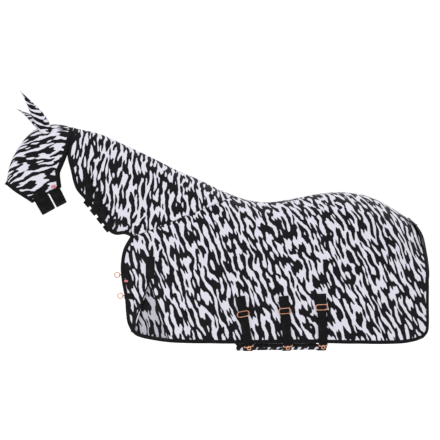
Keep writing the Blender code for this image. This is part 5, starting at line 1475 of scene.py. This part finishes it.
# %% Ear covers
EAR_LINES = {"left": ((-0.100, 0.0, 0.215), (-0.045, 0.0, 0.010)),
             "right": ((-0.130, 0.0, 0.160), (-0.050, 0.0, -0.030))}
EAR_SPREAD, EAR_AROUND, EAR_LEVELS = 0.020, 40, 30
EARS, EAR_SEAMS = {}, []
for word, side in (("left", -1), ("right", 1)):
    foot = on_form(ear_oval(1.0, EAR_AROUND), side, "mask", np.full(EAR_AROUND, LAY + GAP))
    centre = foot.mean(axis=0)
    rows = []
    for t in np.arange(EAR_LEVELS + 1) / EAR_LEVELS:
        spine = centre + np.array(EAR_LINES[word][0]) * t + np.array(EAR_LINES[word][1]) * t * t
        spine[1] = centre[1] + side * EAR_SPREAD * t
        fullness = max((1 + 0.55 * math.sin(math.pi * min(1.0, t * 1.1))) * (1 - t)**0.75, 0.03)
        if t == 0:
            fullness = 1.0
        offset = (foot - centre) * (1.0, 1.0 - 0.45 * t, 1.0 - 0.8 * t)
        turn = 2 * math.pi * np.arange(EAR_AROUND) / EAR_AROUND
        fold = 1.0 + 0.035 * math.sin(math.pi * t) * np.cos(5 * turn + 6 * t)
        rows.append(spine + offset * fullness * fold[:, None])
    grid = np.array(rows)
    count = EAR_AROUND
    faces = [[j * count + k, j * count + (k + 1) % count, (j + 1) * count + (k + 1) % count,
              (j + 1) * count + k] for j in range(EAR_LEVELS) for k in range(count)]
    faces.append([EAR_LEVELS * count + k for k in range(count)])
    height = lengths(grid[:, 0])[:, None]
    round_foot = 0.18 * np.abs(np.arange(count) / count - 0.5)[None]
    slanting = math.radians(-62.0)
    across, along = np.broadcast_arrays(round_foot, height)
    uv = np.stack([across * math.cos(slanting) - along * math.sin(slanting),
                   across * math.sin(slanting) + along * math.cos(slanting) + 9.0], axis=-1)
    ear = piece("ear_cloth_" + word, grid.reshape(-1, 3), faces, uv.reshape(-1, 2), [MESH, MESH_INSIDE])
    ear.data.materials[1] = MESH_INSIDE
    shell = ear.modifiers.new("cloth", "SOLIDIFY")
    shell.thickness, shell.offset, shell.material_offset = CLOTH, -1.0, 1
    EARS[side] = plain(ear)
    EAR_SEAMS.append(np.vstack([foot, foot[:1]]) + (0, side * 0.0012, 0))
    for k in (0, count // 2):
        EAR_SEAMS.append(grid[:-1, k] + (grid[:-1, k] - grid[:-1].mean(axis=1)) * 0.004)
print("ears:", len(EARS))

# %% Blank labels and the mask's seams
LABEL_THICK = 0.0012
CHEST_LABEL = strip("chest_label_cloth", straight((-0.634, -0.490), (-0.634, -0.502), 4), 0.020, -1,
                    "body", LAY, LABEL_THICK, LABEL)
MASK_LABEL = strip("mask_label_cloth", straight((-1.058, 0.066), (-1.054, 0.050), 4), 0.026, -1,
                   "mask", LAY, LABEL_THICK, LABEL)
mask_seams = list(EAR_SEAMS)
for side in (-1, 1):
    for key in ("mask_nose", "mask_rear"):
        line, hand, start, end, form = BORDERS[key]
        out = end_normals(line, hand, start, end)
        mask_seams.append(on_form(line + out * SEAM_SET, side, form,
                                  np.full(len(line), SEAM_LIFT), RIDGE_GAP))
MASK_THREAD = stitches("mask_stitches", mask_seams)
print("mask stitches:", len(MASK_THREAD.data.polygons), "faces")

# %% [markdown]
# ## Tie every piece to its body
# Each piece now rides on a body of the solid model and stands for the solids that it replaces. The
# belly flap is sewn to the sheet at the right hem: its cloth, binding and stitches keep their place with
# their transforms baked in and ride on no body, while its webbings and rings ride on the flap.

# %% Ride and replace
def tie(thing, body, slot, *nodes):
    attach(thing, body)
    if nodes:
        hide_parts(*nodes)


for word, side in (("left", -1), ("right", 1)):
    tie(PANELS["body", side], "sheet", "print_mesh", "body_panel_" + word)
    tie(PANELS["neck", side], "sheet", "print_mesh", "neck_panel_" + word)
    tie(PANELS["mask", side], "mask", "print_mesh", "mask_panel_" + word)
    tie(GUSSETS[side], "sheet", "print_mesh", "shoulder_gusset_" + word)
    tie(PATCHES[side], "sheet", "black_webbing", "gusset_patch_" + word)
    tie(BINDINGS["edge", side], "sheet", "black_binding", "edge_binding_" + word)
    tie(BINDINGS["neck", side], "sheet", "black_binding", "neck_binding_" + word)
    tie(BINDINGS["mask_nose", side], "mask", "black_binding", "mask_nose_binding_" + word)
    tie(BINDINGS["mask_rear", side], "mask", "black_binding", "mask_rear_binding_" + word)
    tie(EARS[side], "mask", "print_mesh", "ear_" + word)
for made in PIPINGS:
    tie(made, "sheet", "black_binding")
tie(SPINE_TAPE, "sheet", "black_binding", "spine_tape")
tie(SHEET_THREAD, "sheet", "black_binding")
tie(MASK_THREAD, "mask", "black_binding")
tie(CHEST_LABEL, "sheet", "woven_label", "chest_label")
tie(MASK_LABEL, "mask", "woven_label", "mask_label")
for i, made in enumerate(BELLY):
    n = str(i + 1)
    tie(made["anchor"], "sheet", "black_webbing", "belly_anchor_" + n)
    tie(made["strap"], "belly_strap_" + n, "black_webbing", "belly_strap_" + n)
    tie(made["strap_thread"], "belly_strap_" + n, "black_webbing")
    tie(made["loop"], "belly_strap_" + n, "black_webbing")
    tie(made["slider"], "belly_slider_" + n, "rose_gold", "belly_slider_" + n)
    tie(made["hook"], "belly_hook_" + n, "rose_gold", "belly_hook_" + n)
for word in CHEST_CATCHES:
    tie(CHEST_PIECES["anchor", word], "sheet", "black_webbing", "chest_anchor_" + word)
    tie(CHEST_PIECES["anchor_thread", word], "sheet", "black_webbing")
    tie(CHEST_PIECES["ring", word], "sheet", "rose_gold", "chest_ring_" + word)
    tie(CHEST_PIECES["strap", word], "chest_strap_" + word, "black_webbing", "chest_strap_" + word)
    tie(CHEST_PIECES["strap_thread", word], "chest_strap_" + word, "black_webbing")
    tie(CHEST_PIECES["hook", word], "chest_strap_" + word, "rose_gold", "chest_hook_" + word)
for name, (made, thread) in TABS.items():
    tie(made, name, "hook_and_loop", name)
    tie(thread, name, "hook_and_loop")
tie(TAIL["cloth"], "tail_flap", "print_mesh", "tail_flap")
tie(TAIL["binding"], "tail_flap", "black_binding", "tail_flap_binding")
tie(TAIL["thread"], "tail_flap", "black_binding")
for key, slot, node in (("cloth", "print_mesh", "belly_flap"),
                        ("binding", "black_binding", "belly_flap_binding"),
                        ("thread", "black_binding", None)):
    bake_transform(FLAP[key])
    if node:
        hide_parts(node)
for n in "123":
    tie(FLAP["webbing_" + n], "belly_flap", "black_webbing", "flap_webbing_" + n)
    tie(FLAP["ring_" + n], "belly_flap", "rose_gold", "flap_ring_" + n)
